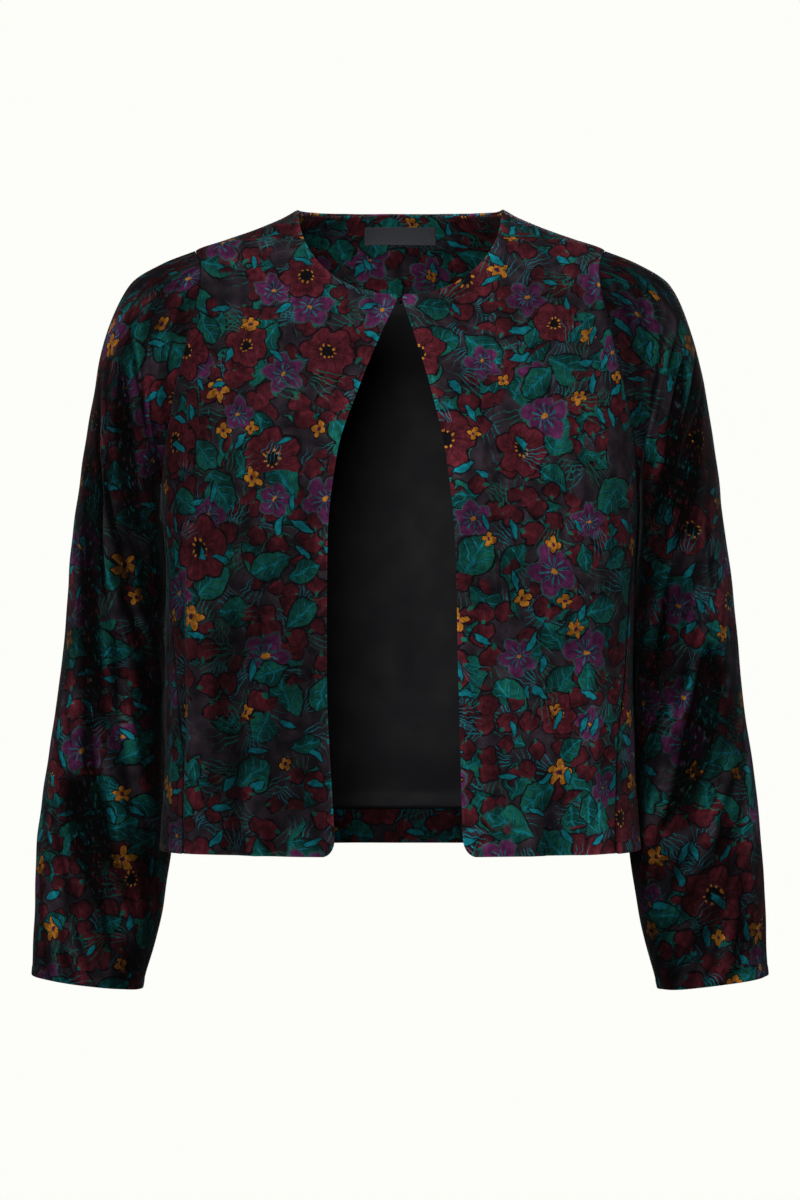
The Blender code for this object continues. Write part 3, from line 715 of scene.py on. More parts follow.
def shell(name, outer, inner, flat, nap, bulge, materials, closed=False):
    """A closed sheet between two grids of points, with rounded edges. The outer face and the
    edges get the first material, and the inner face the last. A closed grid meets itself
    at its last column, where its flat places go on past the first."""
    rows, columns = outer.shape[:2]
    count = rows * columns
    index = np.arange(count).reshape(rows, columns)
    cut = np.arange(flat.size // 2).reshape(flat.shape[:2])
    points = [outer.reshape(-1, 3), inner.reshape(-1, 3)]
    naps = [nap.reshape(-1), nap.reshape(-1)]
    grid = np.concatenate([index, index[:, :1]], axis=1) if closed else index
    faces = [strips(grid), strips(grid + count)[:, ::-1]]
    corners = [strips(cut), strips(cut)[:, ::-1]]
    kinds = [np.zeros(len(faces[0]), int), np.full(len(faces[1]), len(materials) - 1)]
    if closed:
        loops = [(grid[0][::-1], grid[1][::-1], cut[0][::-1]), (grid[-1], grid[-2], cut[-1])]
    else:
        near = index[np.clip(np.arange(rows), 1, rows - 2)][:, np.clip(np.arange(columns), 1, columns - 2)]
        loops = [(round_edge(index)[::-1], round_edge(near)[::-1], round_edge(cut)[::-1])]
    made = 2 * count
    for loop, beside, flat_loop in loops:
        top, low = points[0][loop], points[1][loop]
        outward = unit(top - points[0][beside])
        radius = np.linalg.norm(top - low, axis=-1, keepdims=True) / 2 * bulge.reshape(-1, 1)[loop]
        rings = [loop]
        for k in range(1, RIM_STEPS + 1):
            turn = math.pi * k / (RIM_STEPS + 1)
            ring = (top + low) / 2 + (top - low) / 2 * math.cos(turn) + outward * radius * math.sin(turn)
            points.append(ring[:-1])
            # The rims of free edges get a painted highlight
            naps.append(naps[0][loop[:-1]] + PAINTED_RIM_HIGHLIGHT * (bulge.reshape(-1)[loop[:-1]] == 1))
            new = np.arange(made, made + len(loop) - 1)
            rings.append(np.concatenate([new, new[:1]]))
            made += len(new)
        rings.append(loop + count)
        for a, b in zip(rings, rings[1:]):
            faces.append(np.stack([a[:-1], a[1:], b[1:], b[:-1]], axis=-1))
            corners.append(np.stack([flat_loop[:-1], flat_loop[1:], flat_loop[1:], flat_loop[:-1]], axis=-1))
            kinds.append(np.zeros(len(loop) - 1, int))
    points, naps = np.concatenate(points), np.concatenate(naps)
    faces, corners, kinds = np.concatenate(faces), np.concatenate(corners), np.concatenate(kinds)
    if not facing_out(points, faces):
        faces, corners = faces[:, ::-1], corners[:, ::-1]
    mesh = bpy.data.meshes.new(name)
    mesh.from_pydata(points.tolist(), [], faces.tolist())
    for material in materials:
        mesh.materials.append(material)
    mesh.polygons.foreach_set("material_index", kinds.astype(np.int32))
    layer = mesh.uv_layers.new(name="cut")
    layer.data.foreach_set("uv", flat.reshape(-1, 2)[corners.reshape(-1)].astype(np.float32).reshape(-1))
    # Painted light and shade for each point, which makes the velvet's colour darker in places and lighter in
    # others
    painted_light_value = mesh.attributes.new("nap", "FLOAT", "POINT")
    painted_light_value.data.foreach_set("value", naps.astype(np.float32))
    mesh.shade_smooth()
    mesh.update()
    obj = bpy.data.objects.new(name, mesh)
    bpy.context.scene.collection.objects.link(obj)
    return obj


def finish_piece(obj, node):
    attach(obj, "root")
    if node:
        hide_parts(node)
    return obj


def drawn_in(points, low=FREE_EDGE, high=FREE_EDGE, first=FREE_EDGE, last=FREE_EDGE):
    """Rows of points with their edges drawn in, so that the rounded edges keep to the cut's size
    and leave a gap at a seam."""
    points = points.copy()
    points[:, 0] += unit(points[:, 1] - points[:, 0]) * first
    points[:, -1] += unit(points[:, -2] - points[:, -1]) * last
    points[0] += unit(points[1] - points[0]) * low
    points[-1] += unit(points[-2] - points[-1]) * high
    return points


def edge_roll(shape, edges):
    """The slight thickness of a turned-in edge along the free edges of a panel, from 0 to 1."""
    rows, columns = shape
    total = np.zeros(shape)
    up, along = np.arange(rows)[:, None] + total, np.arange(columns)[None, :] + total
    for edge in edges:
        steps = {"low": up, "high": rows - 1 - up, "first": along, "last": columns - 1 - along}[edge]
        total = np.maximum(total, 1 - smooth_step((steps - 1) / ROLL_STEPS))
    return total


# Patches of painted shade, and of painted highlight where kept passes 1: middles, sizes and the share of
# light kept
PaintedLightPatch = namedtuple("PaintedLightPatch", "deg drop across along kept")
BODY_PAINTED_LIGHT = rows(PaintedLightPatch, [
    (-28, 0.37, 0.085, 0.120, 0.45),
    (-14, 0.50, 0.045, 0.060, 0.60),
    (-62, 0.46, 0.050, 0.130, 0.55),
    (-56, 0.22, 0.045, 0.060, 0.70),
    (34, 0.50, 0.050, 0.060, 1.15),
    (62, 0.34, 0.035, 0.110, 0.70),
    (22, 0.33, 0.040, 0.050, 0.80),
    (92, 0.42, 0.060, 0.160, 0.55),
    (-92, 0.42, 0.060, 0.160, 0.50),
    (148, 0.40, 0.070, 0.120, 0.55),
    (-150, 0.34, 0.080, 0.110, 0.55),
    (178, 0.22, 0.060, 0.080, 0.70),
    (172, 0.50, 0.060, 0.060, 0.65),
])
# The sleeves' patches of painted shade, darkest on the inner side next to the body, and of painted highlight
# where kept passes 1
SleevePaintedLight = namedtuple("SleevePaintedLight", "share deg along across kept")
LEFT_SLEEVE_PAINTED_LIGHT = rows(SleevePaintedLight, [
    (0.04, 80, 0.045, 0.060, 0.60),
    (0.14, 10, 0.110, 0.030, 0.30),
    (0.15, 88, 0.060, 0.042, 1.90),
    (0.33, 92, 0.050, 0.040, 0.55),
    (0.40, 146, 0.200, 0.040, 0.08),
    (0.66, 150, 0.140, 0.040, 0.20),
    (0.50, 50, 0.070, 0.040, 1.40),
    (0.72, 60, 0.090, 0.045, 1.45),
    (0.90, 100, 0.060, 0.045, 0.70),
    (0.35, 262, 0.160, 0.060, 0.45),
    (0.75, 250, 0.120, 0.060, 0.60),
    (0.55, 330, 0.140, 0.040, 1.30),
])
RIGHT_SLEEVE_PAINTED_LIGHT = rows(SleevePaintedLight, [
    (0.06, 62, 0.060, 0.070, 1.25),
    (0.13, 134, 0.050, 0.035, 0.25),
    (0.38, 152, 0.230, 0.045, 0.05),
    (0.62, 148, 0.150, 0.055, 0.05),
    (0.46, 24, 0.170, 0.034, 1.60),
    (0.80, 58, 0.130, 0.065, 1.80),
    (0.86, 116, 0.060, 0.040, 0.60),
    (0.40, 268, 0.160, 0.060, 0.45),
    (0.72, 256, 0.120, 0.060, 0.60),
    (0.50, 332, 0.140, 0.040, 1.30),
])
# Painted shade in the cloth's troughs and painted highlight on its ridges, per metre of relief; on the
# sleeves one side of each fold is painted lighter than the other, by its slope. Then the limits of the
# painted light and the darkest painted fold
FOLD_SHADE_PER_METRE = 170.0
SLEEVE_FOLD_SHADE_PER_METRE = 330.0
FOLD_SIDE_SHADE_PER_SLOPE = 2.2
PAINTED_LIGHT_LIMITS = (0.30, 1.55)
SLEEVE_PAINTED_LIGHT_LIMITS = (0.05, 2.2)
DARKEST_PAINTED_FOLD = 0.08
# Painted highlights along the rolled edges and cuffs, and on the rounded rims of free edges
PAINTED_EDGE_HIGHLIGHT = 0.35
PAINTED_RIM_HIGHLIGHT = 0.8


def patch_light(places, across, along):
    """The share of light painted into the colour: painted shade in each patch, and painted highlight where
    the share kept passes 1. Each place is across, along, size across, size along and the share kept."""
    light = np.ones_like(across)
    for x, y, wide, tall, kept in places:
        off = ((across - x) / wide) ** 2 + ((along - y) / tall) ** 2
        light = light * mix(1.0, kept, np.exp(-off))
    return light


# Painted light on the body: shade and highlight patches, troughs painted darker and ridges lighter, and a
# painted highlight along rolled edges
def body_painted_light(phi, drop, edges):
    degrees = (np.degrees(phi) + 180) % 360 - 180
    k = BODY_METRES_PER_DEGREE
    light = np.ones_like(phi)
    for turn in (-360, 0, 360):
        places = [(p.deg * k, p.drop, p.across, p.along, p.kept) for p in BODY_PAINTED_LIGHT]
        light = light * patch_light(places, (degrees + turn) * k, drop)
    light = light * (1 + FOLD_SHADE_PER_METRE * body_relief(phi, drop))
    return np.clip(light, *PAINTED_LIGHT_LIMITS) + PAINTED_EDGE_HIGHLIGHT * edges


def body_piece(name, places, start_phi, offset, materials, slot, outside=0.0, thickness=CLOTH,
               rolled=(), fuller=0.0, **gaps):
    phi, drop = places
    roll = edge_roll(phi.shape, rolled)
    bulge = edge_bulge(phi.shape, [edge for edge, gap in gaps.items() if gap < FREE_EDGE])
    sewn = (bulge < 1) & (outside == 0)
    outer = drawn_in(torso_point(phi, drop, ROLL_HEIGHT * roll - outside), **gaps)
    inner = drawn_in(torso_point(phi, drop, 0 * phi - outside - thickness - fuller), **gaps)
    flat = laid_flat(phi, drop, start_phi, UNDERARM_DROP) + np.array(offset)
    # The seams' edge rows are painted dark: painted shade
    nap = body_painted_light(phi, drop, roll) * np.where(sewn, PAINTED_SEAM_SHADE, 1.0)
    return finish_piece(shell(name + "_cloth", outer, inner, flat, nap, bulge, materials), name)


Sleeve = namedtuple("Sleeve", "name side folds creases naps offset seed lean")
SLEEVES = rows(Sleeve, [
    ("sleeve_right", -1, RIGHT_SLEEVE_FOLDS, RIGHT_SLEEVE_CREASES, RIGHT_SLEEVE_PAINTED_LIGHT,
     (5.21, 1.13), 21, 0.2),
    ("sleeve_left", 1, LEFT_SLEEVE_FOLDS, LEFT_SLEEVE_CREASES, LEFT_SLEEVE_PAINTED_LIGHT,
     (7.42, 1.57), 31, -0.35),
])


def sleeve_piece(sleeve, materials):
    turns = 2 * np.pi * np.arange(SLEEVE_COLUMNS + 1) / SLEEVE_COLUMNS - np.pi
    share, psi = np.meshgrid(shares(SLEEVE_ROWS), turns, indexing="ij")
    base, normal = sleeve_base(share, psi), sleeve_normal(share, psi)
    whole = psi % (2 * np.pi)
    relief = sleeve_relief(sleeve.folds, sleeve.creases, share, whole, sleeve.seed, free_to_crease(base))
    cuff = smooth_step((share - CUFF_ROLL_FROM) / CUFF_ROLL_LENGTH)
    mirror = np.array([sleeve.side, 1, 1])
    gaps = {"low": SEAM_BULGE * CLOTH / 2, "high": FREE_EDGE, "first": 0.0, "last": 0.0}
    outer = drawn_in(base + normal * (relief + ROLL_HEIGHT * cuff)[..., None], **gaps) * mirror
    inner = drawn_in(base + normal * (relief - CLOTH)[..., None], **gaps) * mirror
    flat = sleeve_flat(base) * np.array([sleeve.side, 1])
    # Painted light on the sleeve: shade and highlight patches, troughs painted darker and ridges lighter,
    # one side of each fold lighter than the other, and a painted highlight at the cuff's roll
    k = SLEEVE_METRES_PER_DEGREE
    places = [(p.deg * k, p.share * SLEEVE_LENGTH, p.across, p.along, p.kept) for p in sleeve.naps]
    nap = patch_light(places, np.degrees(whole) * k, share * SLEEVE_LENGTH)
    around = np.linalg.norm(np.diff(base, axis=1), axis=-1).mean(axis=1)[:, None]
    slope = np.gradient(relief, axis=1) / around
    nap = nap * np.maximum(1 + SLEEVE_FOLD_SHADE_PER_METRE * relief + FOLD_SIDE_SHADE_PER_SLOPE * slope, DARKEST_PAINTED_FOLD)
    nap = np.clip(nap, *SLEEVE_PAINTED_LIGHT_LIMITS) + PAINTED_EDGE_HIGHLIGHT * cuff
    obj = shell(sleeve.name + "_cloth", outer[:, :-1], inner[:, :-1], flat + np.array(sleeve.offset),
                nap[:, :-1], edge_bulge((SLEEVE_ROWS + 1, SLEEVE_COLUMNS), ["low"]), materials, closed=True)
    return finish_piece(obj, sleeve.name)


# Shader nodes

class Graph:
    """Short ways to add nodes to one material."""

    def __init__(self, tree):
        self.tree = tree

    def add(self, kind, output, inputs, **settings):
        made = self.tree.nodes.new(kind)
        for name, value in settings.items():
            setattr(made, name, value)
        for key, value in inputs.items():
            self.put(made.inputs[key], value)
        return made.outputs[output]

    def put(self, socket, value):
        if isinstance(value, bpy.types.NodeSocket):
            self.tree.links.new(value, socket)
        else:
            socket.default_value = value

    def math(self, operation, *values):
        return self.add("ShaderNodeMath", 0, dict(enumerate(values)), operation=operation)

    def plus(self, *values):
        return reduce(lambda a, b: self.math("ADD", a, b), values)

    def minus(self, a, b):
        return self.math("SUBTRACT", a, b)

    def times(self, *values):
        return reduce(lambda a, b: self.math("MULTIPLY", a, b), values)

    def size(self, a):
        return self.math("ABSOLUTE", a)

    def vector(self, operation, *values):
        return self.add("ShaderNodeVectorMath", 0, dict(enumerate(values)), operation=operation)

    def mix(self, share, a, b):
        return self.add("ShaderNodeMix", 2, {0: share, 6: a, 7: b}, data_type="RGBA")

    def ramp(self, value, low, high, to_low=0.0, to_high=1.0):
        """From to_low to to_high as the value goes from low to high, and flat past both."""
        return self.add("ShaderNodeMapRange", 0,
                        {"Value": value, "From Min": low, "From Max": high,
                         "To Min": to_low, "To Max": to_high}, interpolation_type="SMOOTHSTEP")

    def fall(self, value, low, high):
        """From 1 to 0 as the value goes from low to high."""
        return self.ramp(value, low, high, 1.0, 0.0)

    def noise(self, place, size, detail=2.0, output="Fac"):
        return self.add("ShaderNodeTexNoise", output, {"Vector": place, "Scale": 1 / size, "Detail": detail})

    def parts(self, place):
        made = self.tree.nodes.new("ShaderNodeSeparateXYZ")
        self.put(made.inputs[0], place)
        return made.outputs[0], made.outputs[1], made.outputs[2]

    def grey(self, value):
        return self.add("ShaderNodeCombineXYZ", 0, {0: value, 1: value, 2: value})


def linear(colour):
    """A colour as eyes see it, 0 to 255, turned into amounts of light."""
    return (*[(c / 255 / 12.92) if c < 11 else ((c / 255 + 0.055) / 1.055) ** 2.4 for c in colour], 1.0)


GROUND = linear((58, 49, 56))
GROUND_DARK = linear((36, 31, 37))
OUTLINE = linear((20, 17, 21))
PALE_OUTLINE = linear((50, 80, 84))
BURGUNDY = linear((94, 33, 42))
BURGUNDY_DEEP = linear((60, 23, 30))
PURPLE = linear((94, 40, 82))
PURPLE_DEEP = linear((64, 28, 58))
TEAL = linear((22, 94, 80))
TEAL_DEEP = linear((13, 62, 58))
TURQUOISE = linear((16, 116, 128))
MUSTARD = linear((186, 122, 42))
MUSTARD_DEEP = linear((146, 86, 26))


# The print's motifs: sizes in metres, and pairs of values between which a tone comes in or fades
SHIFT_PER_SEED = (0.37, 0.73)
LEAST_SIZE = 0.75
SIZE_RANGE = 0.45
PILE_SOFTNESS = 0.0012
INK_WIDTH = 0.0010
FINE_INK = 0.0009
SHADE_PER_METRE = 40.0
GRAIN_LIGHT = 1.2
TINT_LIGHT = 0.3
SHADE = (0.4, 1.2)
PETAL_GAP_RIM = (0.0, 0.001)
GRASS_FOOT = 0.024
GRASS_TURN = 3.2
BLADES_PER_RADIAN = 5.5
BLADE_WIDTH = (0.008, 0.044, 0.20, 0.04)
BLADE_EDGE = (0.0, 0.05)
GRASS_START = (0.010, 0.015)
GRASS_END = (0.030, 0.044)
FAN_ANGLE = (0.36, 0.44)
GRASS_TINT = (0.35, 0.65)
GRASS_STRENGTH = 0.9
LEAF_POINT = 0.3
LEAF_RIM = (0.0010, 0.0026)
VEIN_SPACING = 0.0084
VEIN_SLANT = 0.85
VEIN_SHADOW = (0.10, 0.20)
VEIN_SHADOW_STRENGTH = 0.55
SIDE_VEIN = (0.04, 0.11)
MID_VEIN = (0.0005, 0.0013)
VEIN_STRENGTH = 0.8
BERRY_REACH = 0.0086
BERRY_LOBES = (4, 0.15)
CALYX_PLACE = 0.0082
CALYX_SIZE = (0.0027, 0.0018)
CALYX_RIM = (-0.0003, 0.0005)
VIOLET_REACH = 0.0190
VIOLET_LOBES = (5, 0.40)
VIOLET_SHADE_PER_METRE = 30.0
VIOLET_SHADE = (0.5, 1.3)
VIOLET_RAYS = 10.0
RAY_EDGE = (0.2, 0.9)
RAY_END = (0.0075, 0.0120)
RAY_STRENGTH = 0.85
VIOLET_GAP = (0.04, 0.14)
VIOLET_EYE = (0.0016, 0.0026)
ANEMONE_REACH = 0.0235
ANEMONE_LOBES = (6, 0.22)
ANEMONE_GRAIN = 1.1
ANEMONE_SHADE = (0.6, 1.5)
STREAKS = 24.0
STREAK_LIGHT = 0.18
ANEMONE_GAP = (0.03, 0.13)
ANEMONE_GAP_STRENGTH = 0.7
ANEMONE_MIDDLE = (0.0052, 0.0066)
STAMENS = 9.0
STAMEN_EDGE = (0.1, 0.5)
STAMEN_RING = 0.0066
STAMEN_SIZE = (0.0007, 0.0013)
BRIGHT_LOBE_DEPTH = 0.62
BRIGHT_GRAIN = (0.35, 0.6)
BRIGHT_SOFTNESS = 0.0006
BRIGHT_MIDDLE = (0.16, 0.28)
SLIP_SIZE = (0.0085, 0.0026)
SLIP_INK = 0.0006


def motif(g, flat, spacing, seed, share, even=0.85):
    """Places near scattered middles: across and along each motif, turned and sized at random,
    which motifs are shown, and an amount that differs from motif to motif."""
    place = g.vector("ADD", flat, (SHIFT_PER_SEED[0] * seed, SHIFT_PER_SEED[1] * seed, 0.0))
    made = g.tree.nodes.new("ShaderNodeTexVoronoi")
    made.voronoi_dimensions = "2D"
    for key, value in (("Vector", place), ("Scale", 1 / spacing), ("Randomness", even)):
        g.put(made.inputs[key], value)
    local = g.vector("SUBTRACT", place, made.outputs["Position"])
    first, second, third = g.parts(made.outputs["Color"])
    turned = g.add("ShaderNodeVectorRotate", 0,
                   {"Vector": local, "Angle": g.times(first, 2 * math.pi)}, rotation_type="Z_AXIS")
    grown = g.math("DIVIDE", 1.0, g.plus(g.times(third, SIZE_RANGE), LEAST_SIZE))
    x, y, _ = g.parts(turned)
    return g.times(x, grown), g.times(y, grown), g.math("LESS_THAN", second, share), third


def oval(g, x, y, length, width, point=0.0):
    """How far inside a pointed oval a place is, below 0 outside; point makes one end narrower."""
    t = g.times(x, 1 / length)
    half = g.minus(1.0, g.times(t, t))
    if point:
        half = g.times(half, g.minus(1.0, g.times(t, point)))
    return g.minus(g.times(half, width), g.size(y))


def radius(g, x, y):
    return g.math("SQRT", g.plus(g.times(x, x), g.times(y, y)))


def round_waves(g, angle, count):
    return g.math("COSINE", g.times(angle, count))


def lobed(g, x, y, reach, lobes, depth):
    """How far inside a flower with round lobes a place is."""
    wave = g.size(round_waves(g, g.math("ARCTAN2", y, x), lobes / 2))
    edge = g.times(g.plus(g.times(wave, depth), 1 - depth), reach)
    return g.minus(edge, radius(g, x, y))


def inked(g, below, inside, colour, shown, ink=OUTLINE, ink_width=INK_WIDTH, soft=PILE_SOFTNESS):
    """A motif laid over what is below, with an inked outline round it, its edges soft in the pile."""
    drawn = g.mix(g.times(g.ramp(inside, -ink_width - soft, -ink_width), shown), below, ink)
    return g.mix(g.times(g.ramp(inside, -soft / 2, soft / 2), shown), drawn, colour)


def shaded(g, place, grain, tint, dark, bright):
    light = g.plus(g.times(place, SHADE_PER_METRE), g.times(grain, GRAIN_LIGHT), g.times(tint, TINT_LIGHT))
    return g.mix(g.ramp(light, *SHADE), dark, bright)


def petal_gaps(g, angle, petals, width, inside):
    """Thin lines between a flower's petals."""
    gap = g.fall(g.size(round_waves(g, angle, petals / 2)), *width)
    return g.times(gap, g.ramp(inside, *PETAL_GAP_RIM))


def grass(g, colour, flat, spacing, seed, share):
    """Fans of blades, wide at the foot and fine at the tip."""
    x, y, shown, tint = motif(g, flat, spacing, seed, share)
    along = g.plus(x, GRASS_FOOT)
    angle = g.math("ARCTAN2", y, along)
    reach = radius(g, along, y)
    comb = g.math("FRACT", g.times(g.plus(angle, GRASS_TURN), BLADES_PER_RADIAN))
    off = g.size(g.minus(comb, 0.5))
    blade = g.ramp(g.minus(g.ramp(reach, *BLADE_WIDTH), off), *BLADE_EDGE)
    within = g.times(g.ramp(reach, *GRASS_START), g.fall(reach, *GRASS_END))
    fan = g.times(within, g.fall(g.size(angle), *FAN_ANGLE), shown)
    ink = g.mix(g.ramp(tint, *GRASS_TINT), TURQUOISE, TEAL)
    return g.mix(g.times(blade, fan, GRASS_STRENGTH), colour, ink)


def leaves(g, colour, flat, spacing, seed, share, length, width, grain, mask=1.0):
    """Broad leaves with a middle vein and slanting side veins."""
    x, y, shown, tint = motif(g, flat, spacing, seed, share)
    shown = g.times(shown, mask)
    inside = oval(g, x, y, length, width, LEAF_POINT)
    colour = inked(g, colour, inside, shaded(g, y, grain, tint, TEAL_DEEP, TEAL), shown)
    slant = g.math("FRACT", g.times(g.plus(x, g.times(g.size(y), VEIN_SLANT)), 1 / VEIN_SPACING))
    off = g.size(g.minus(slant, 0.5))
    clear = g.times(g.ramp(inside, *LEAF_RIM), shown)
    colour = g.mix(g.times(g.fall(off, *VEIN_SHADOW), clear, VEIN_SHADOW_STRENGTH), colour, OUTLINE)
    vein = g.math("MAXIMUM", g.fall(off, *SIDE_VEIN), g.fall(g.size(y), *MID_VEIN))
    return g.mix(g.times(vein, clear, VEIN_STRENGTH), colour, TURQUOISE)


def berries(g, colour, flat, spacing, seed, share, grain, mask):
    """Round berries in drifts, each with a small green calyx."""
    x, y, shown, tint = motif(g, flat, spacing, seed, share, 0.7)
    shown = g.times(shown, mask)
    shade = shaded(g, x, grain, tint, BURGUNDY_DEEP, BURGUNDY)
    inside = lobed(g, x, y, BERRY_REACH, *BERRY_LOBES)
    colour = inked(g, colour, inside, shade, shown, ink_width=FINE_INK)
    calyx = oval(g, g.minus(x, CALYX_PLACE), y, *CALYX_SIZE)
    return g.mix(g.times(g.ramp(calyx, *CALYX_RIM), shown), colour, TEAL)


def violets(g, colour, flat, spacing, seed, share, grain):
    """Flat five-petalled flowers with a streaked heart and a bright eye."""
    x, y, shown, _ = motif(g, flat, spacing, seed, share)
    reach, angle = radius(g, x, y), g.math("ARCTAN2", y, x)
    inside = lobed(g, x, y, VIOLET_REACH, *VIOLET_LOBES)
    light = g.plus(g.times(reach, VIOLET_SHADE_PER_METRE), g.times(grain, GRAIN_LIGHT))
    shade = g.mix(g.ramp(light, *VIOLET_SHADE), PURPLE_DEEP, PURPLE)
    colour = inked(g, colour, inside, shade, shown, PALE_OUTLINE)
    rays = g.times(g.ramp(round_waves(g, angle, VIOLET_RAYS), *RAY_EDGE), g.fall(reach, *RAY_END))
    colour = g.mix(g.times(rays, shown, RAY_STRENGTH), colour, TURQUOISE)
    gap = petal_gaps(g, angle, VIOLET_LOBES[0], VIOLET_GAP, inside)
    colour = g.mix(g.times(gap, shown), colour, OUTLINE)
    return g.mix(g.times(g.fall(reach, *VIOLET_EYE), shown), colour, MUSTARD)


def anemones(g, colour, flat, spacing, seed, share, grain):
    """Large open flowers: broad petals streaked from a dark middle with a ring of stamens."""
    x, y, shown, _ = motif(g, flat, spacing, seed, share, 0.8)
    reach, angle = radius(g, x, y), g.math("ARCTAN2", y, x)
    inside = lobed(g, x, y, ANEMONE_REACH, *ANEMONE_LOBES)
    streak = g.times(round_waves(g, angle, STREAKS), STREAK_LIGHT)
    light = g.plus(g.times(reach, SHADE_PER_METRE), g.times(grain, ANEMONE_GRAIN), streak)
    shade = g.mix(g.ramp(light, *ANEMONE_SHADE), BURGUNDY_DEEP, BURGUNDY)
    colour = inked(g, colour, inside, shade, shown)
    gap = petal_gaps(g, angle, ANEMONE_LOBES[0], ANEMONE_GAP, inside)
    colour = g.mix(g.times(gap, shown, ANEMONE_GAP_STRENGTH), colour, OUTLINE)
    colour = g.mix(g.times(g.fall(reach, *ANEMONE_MIDDLE), shown), colour, OUTLINE)
    beads = g.times(g.ramp(round_waves(g, angle, STAMENS), *STAMEN_EDGE),
                    g.fall(g.size(g.minus(reach, STAMEN_RING)), *STAMEN_SIZE))
    return g.mix(g.times(beads, shown), colour, MUSTARD)


def bright_flowers(g, colour, flat, spacing, seed, share, reach, lobes, grain):
    """Small flowers with narrow petals."""
    x, y, shown, _ = motif(g, flat, spacing, seed, share, 0.95)
    shade = g.mix(g.ramp(grain, *BRIGHT_GRAIN), MUSTARD_DEEP, MUSTARD)
    inside = lobed(g, x, y, reach, lobes, BRIGHT_LOBE_DEPTH)
    colour = inked(g, colour, inside, shade, shown, ink_width=FINE_INK, soft=BRIGHT_SOFTNESS)
    middle = g.fall(radius(g, x, y), *[reach * share for share in BRIGHT_MIDDLE])
    return g.mix(g.times(middle, shown), colour, PURPLE_DEEP)


def slips(g, colour, flat, spacing, seed, share):
    """Small bright leaves."""
    x, y, shown, _ = motif(g, flat, spacing, seed, share, 1.0)
    return inked(g, colour, oval(g, x, y, *SLIP_SIZE), TURQUOISE, shown, ink_width=SLIP_INK)


def print_colour(g, flat):
    """A dense print of garden flowers, berries, leaves and grass on a plum ground."""
    for size, amount in ((0.014, 0.0085), (0.0042, 0.0026), (0.0014, 0.0008)):
        wobble = g.vector("SUBTRACT", g.noise(flat, size, 1.0, "Color"), (0.5, 0.5, 0.5))
        flat = g.vector("ADD", flat, g.vector("MULTIPLY", wobble, (amount, amount, 0.0)))
    grain = g.noise(g.vector("MULTIPLY", flat, (1.0, 0.45, 1.0)), 0.0026, 3.0)
    drift = g.noise(flat, 0.080, 1.0)
    berry_drift, leaf_drift = g.ramp(drift, 0.445, 0.460), g.ramp(drift, 0.545, 0.530)
    colour = g.mix(g.ramp(g.noise(flat, 0.012, 4.0), 0.38, 0.62), GROUND, GROUND_DARK)
    layers = [
        (grass, dict(spacing=0.034, seed=13.4, share=0.95)),
        (grass, dict(spacing=0.044, seed=3.1, share=0.8)),
        (leaves, dict(spacing=0.038, seed=1.3, share=0.96, length=0.0195, width=0.0132, grain=grain,
                      mask=leaf_drift)),
        (berries, dict(spacing=0.0200, seed=7.2, share=0.94, grain=grain, mask=berry_drift)),
        (violets, dict(spacing=0.062, seed=6.1, share=0.66, grain=grain)),
        (leaves, dict(spacing=0.050, seed=5.7, share=0.45, length=0.0165, width=0.0100, grain=grain)),
        (anemones, dict(spacing=0.084, seed=9.3, share=0.68, grain=grain)),
        (grass, dict(spacing=0.056, seed=8.4, share=0.75)),
        (bright_flowers, dict(spacing=0.064, seed=4.6, share=0.27, reach=0.0100, lobes=5, grain=grain)),
        (bright_flowers, dict(spacing=0.047, seed=11.8, share=0.20, reach=0.0068, lobes=4, grain=grain)),
        (slips, dict(spacing=0.024, seed=7.9, share=0.34)),
    ]
    for draw, sizes in layers:
        colour = draw(g, colour, flat, **sizes)
    brushed = g.ramp(g.noise(flat, 0.0060, 4.0), 0.3, 0.7, 0.62, 1.22)
    return g.vector("MULTIPLY", colour, g.grey(brushed))


def new_material(name):
    material = bpy.data.materials.new(name)
    material.use_nodes = True
    graph = Graph(material.node_tree)
    shader = material.node_tree.nodes["Principled BSDF"]
    return material, graph, shader


def cut_place(g):
    return g.add("ShaderNodeUVMap", 0, {}, uv_map="cut")


def bump(g, height, strength, distance):
    return g.add("ShaderNodeBump", 0, {"Height": height, "Strength": strength, "Distance": distance})


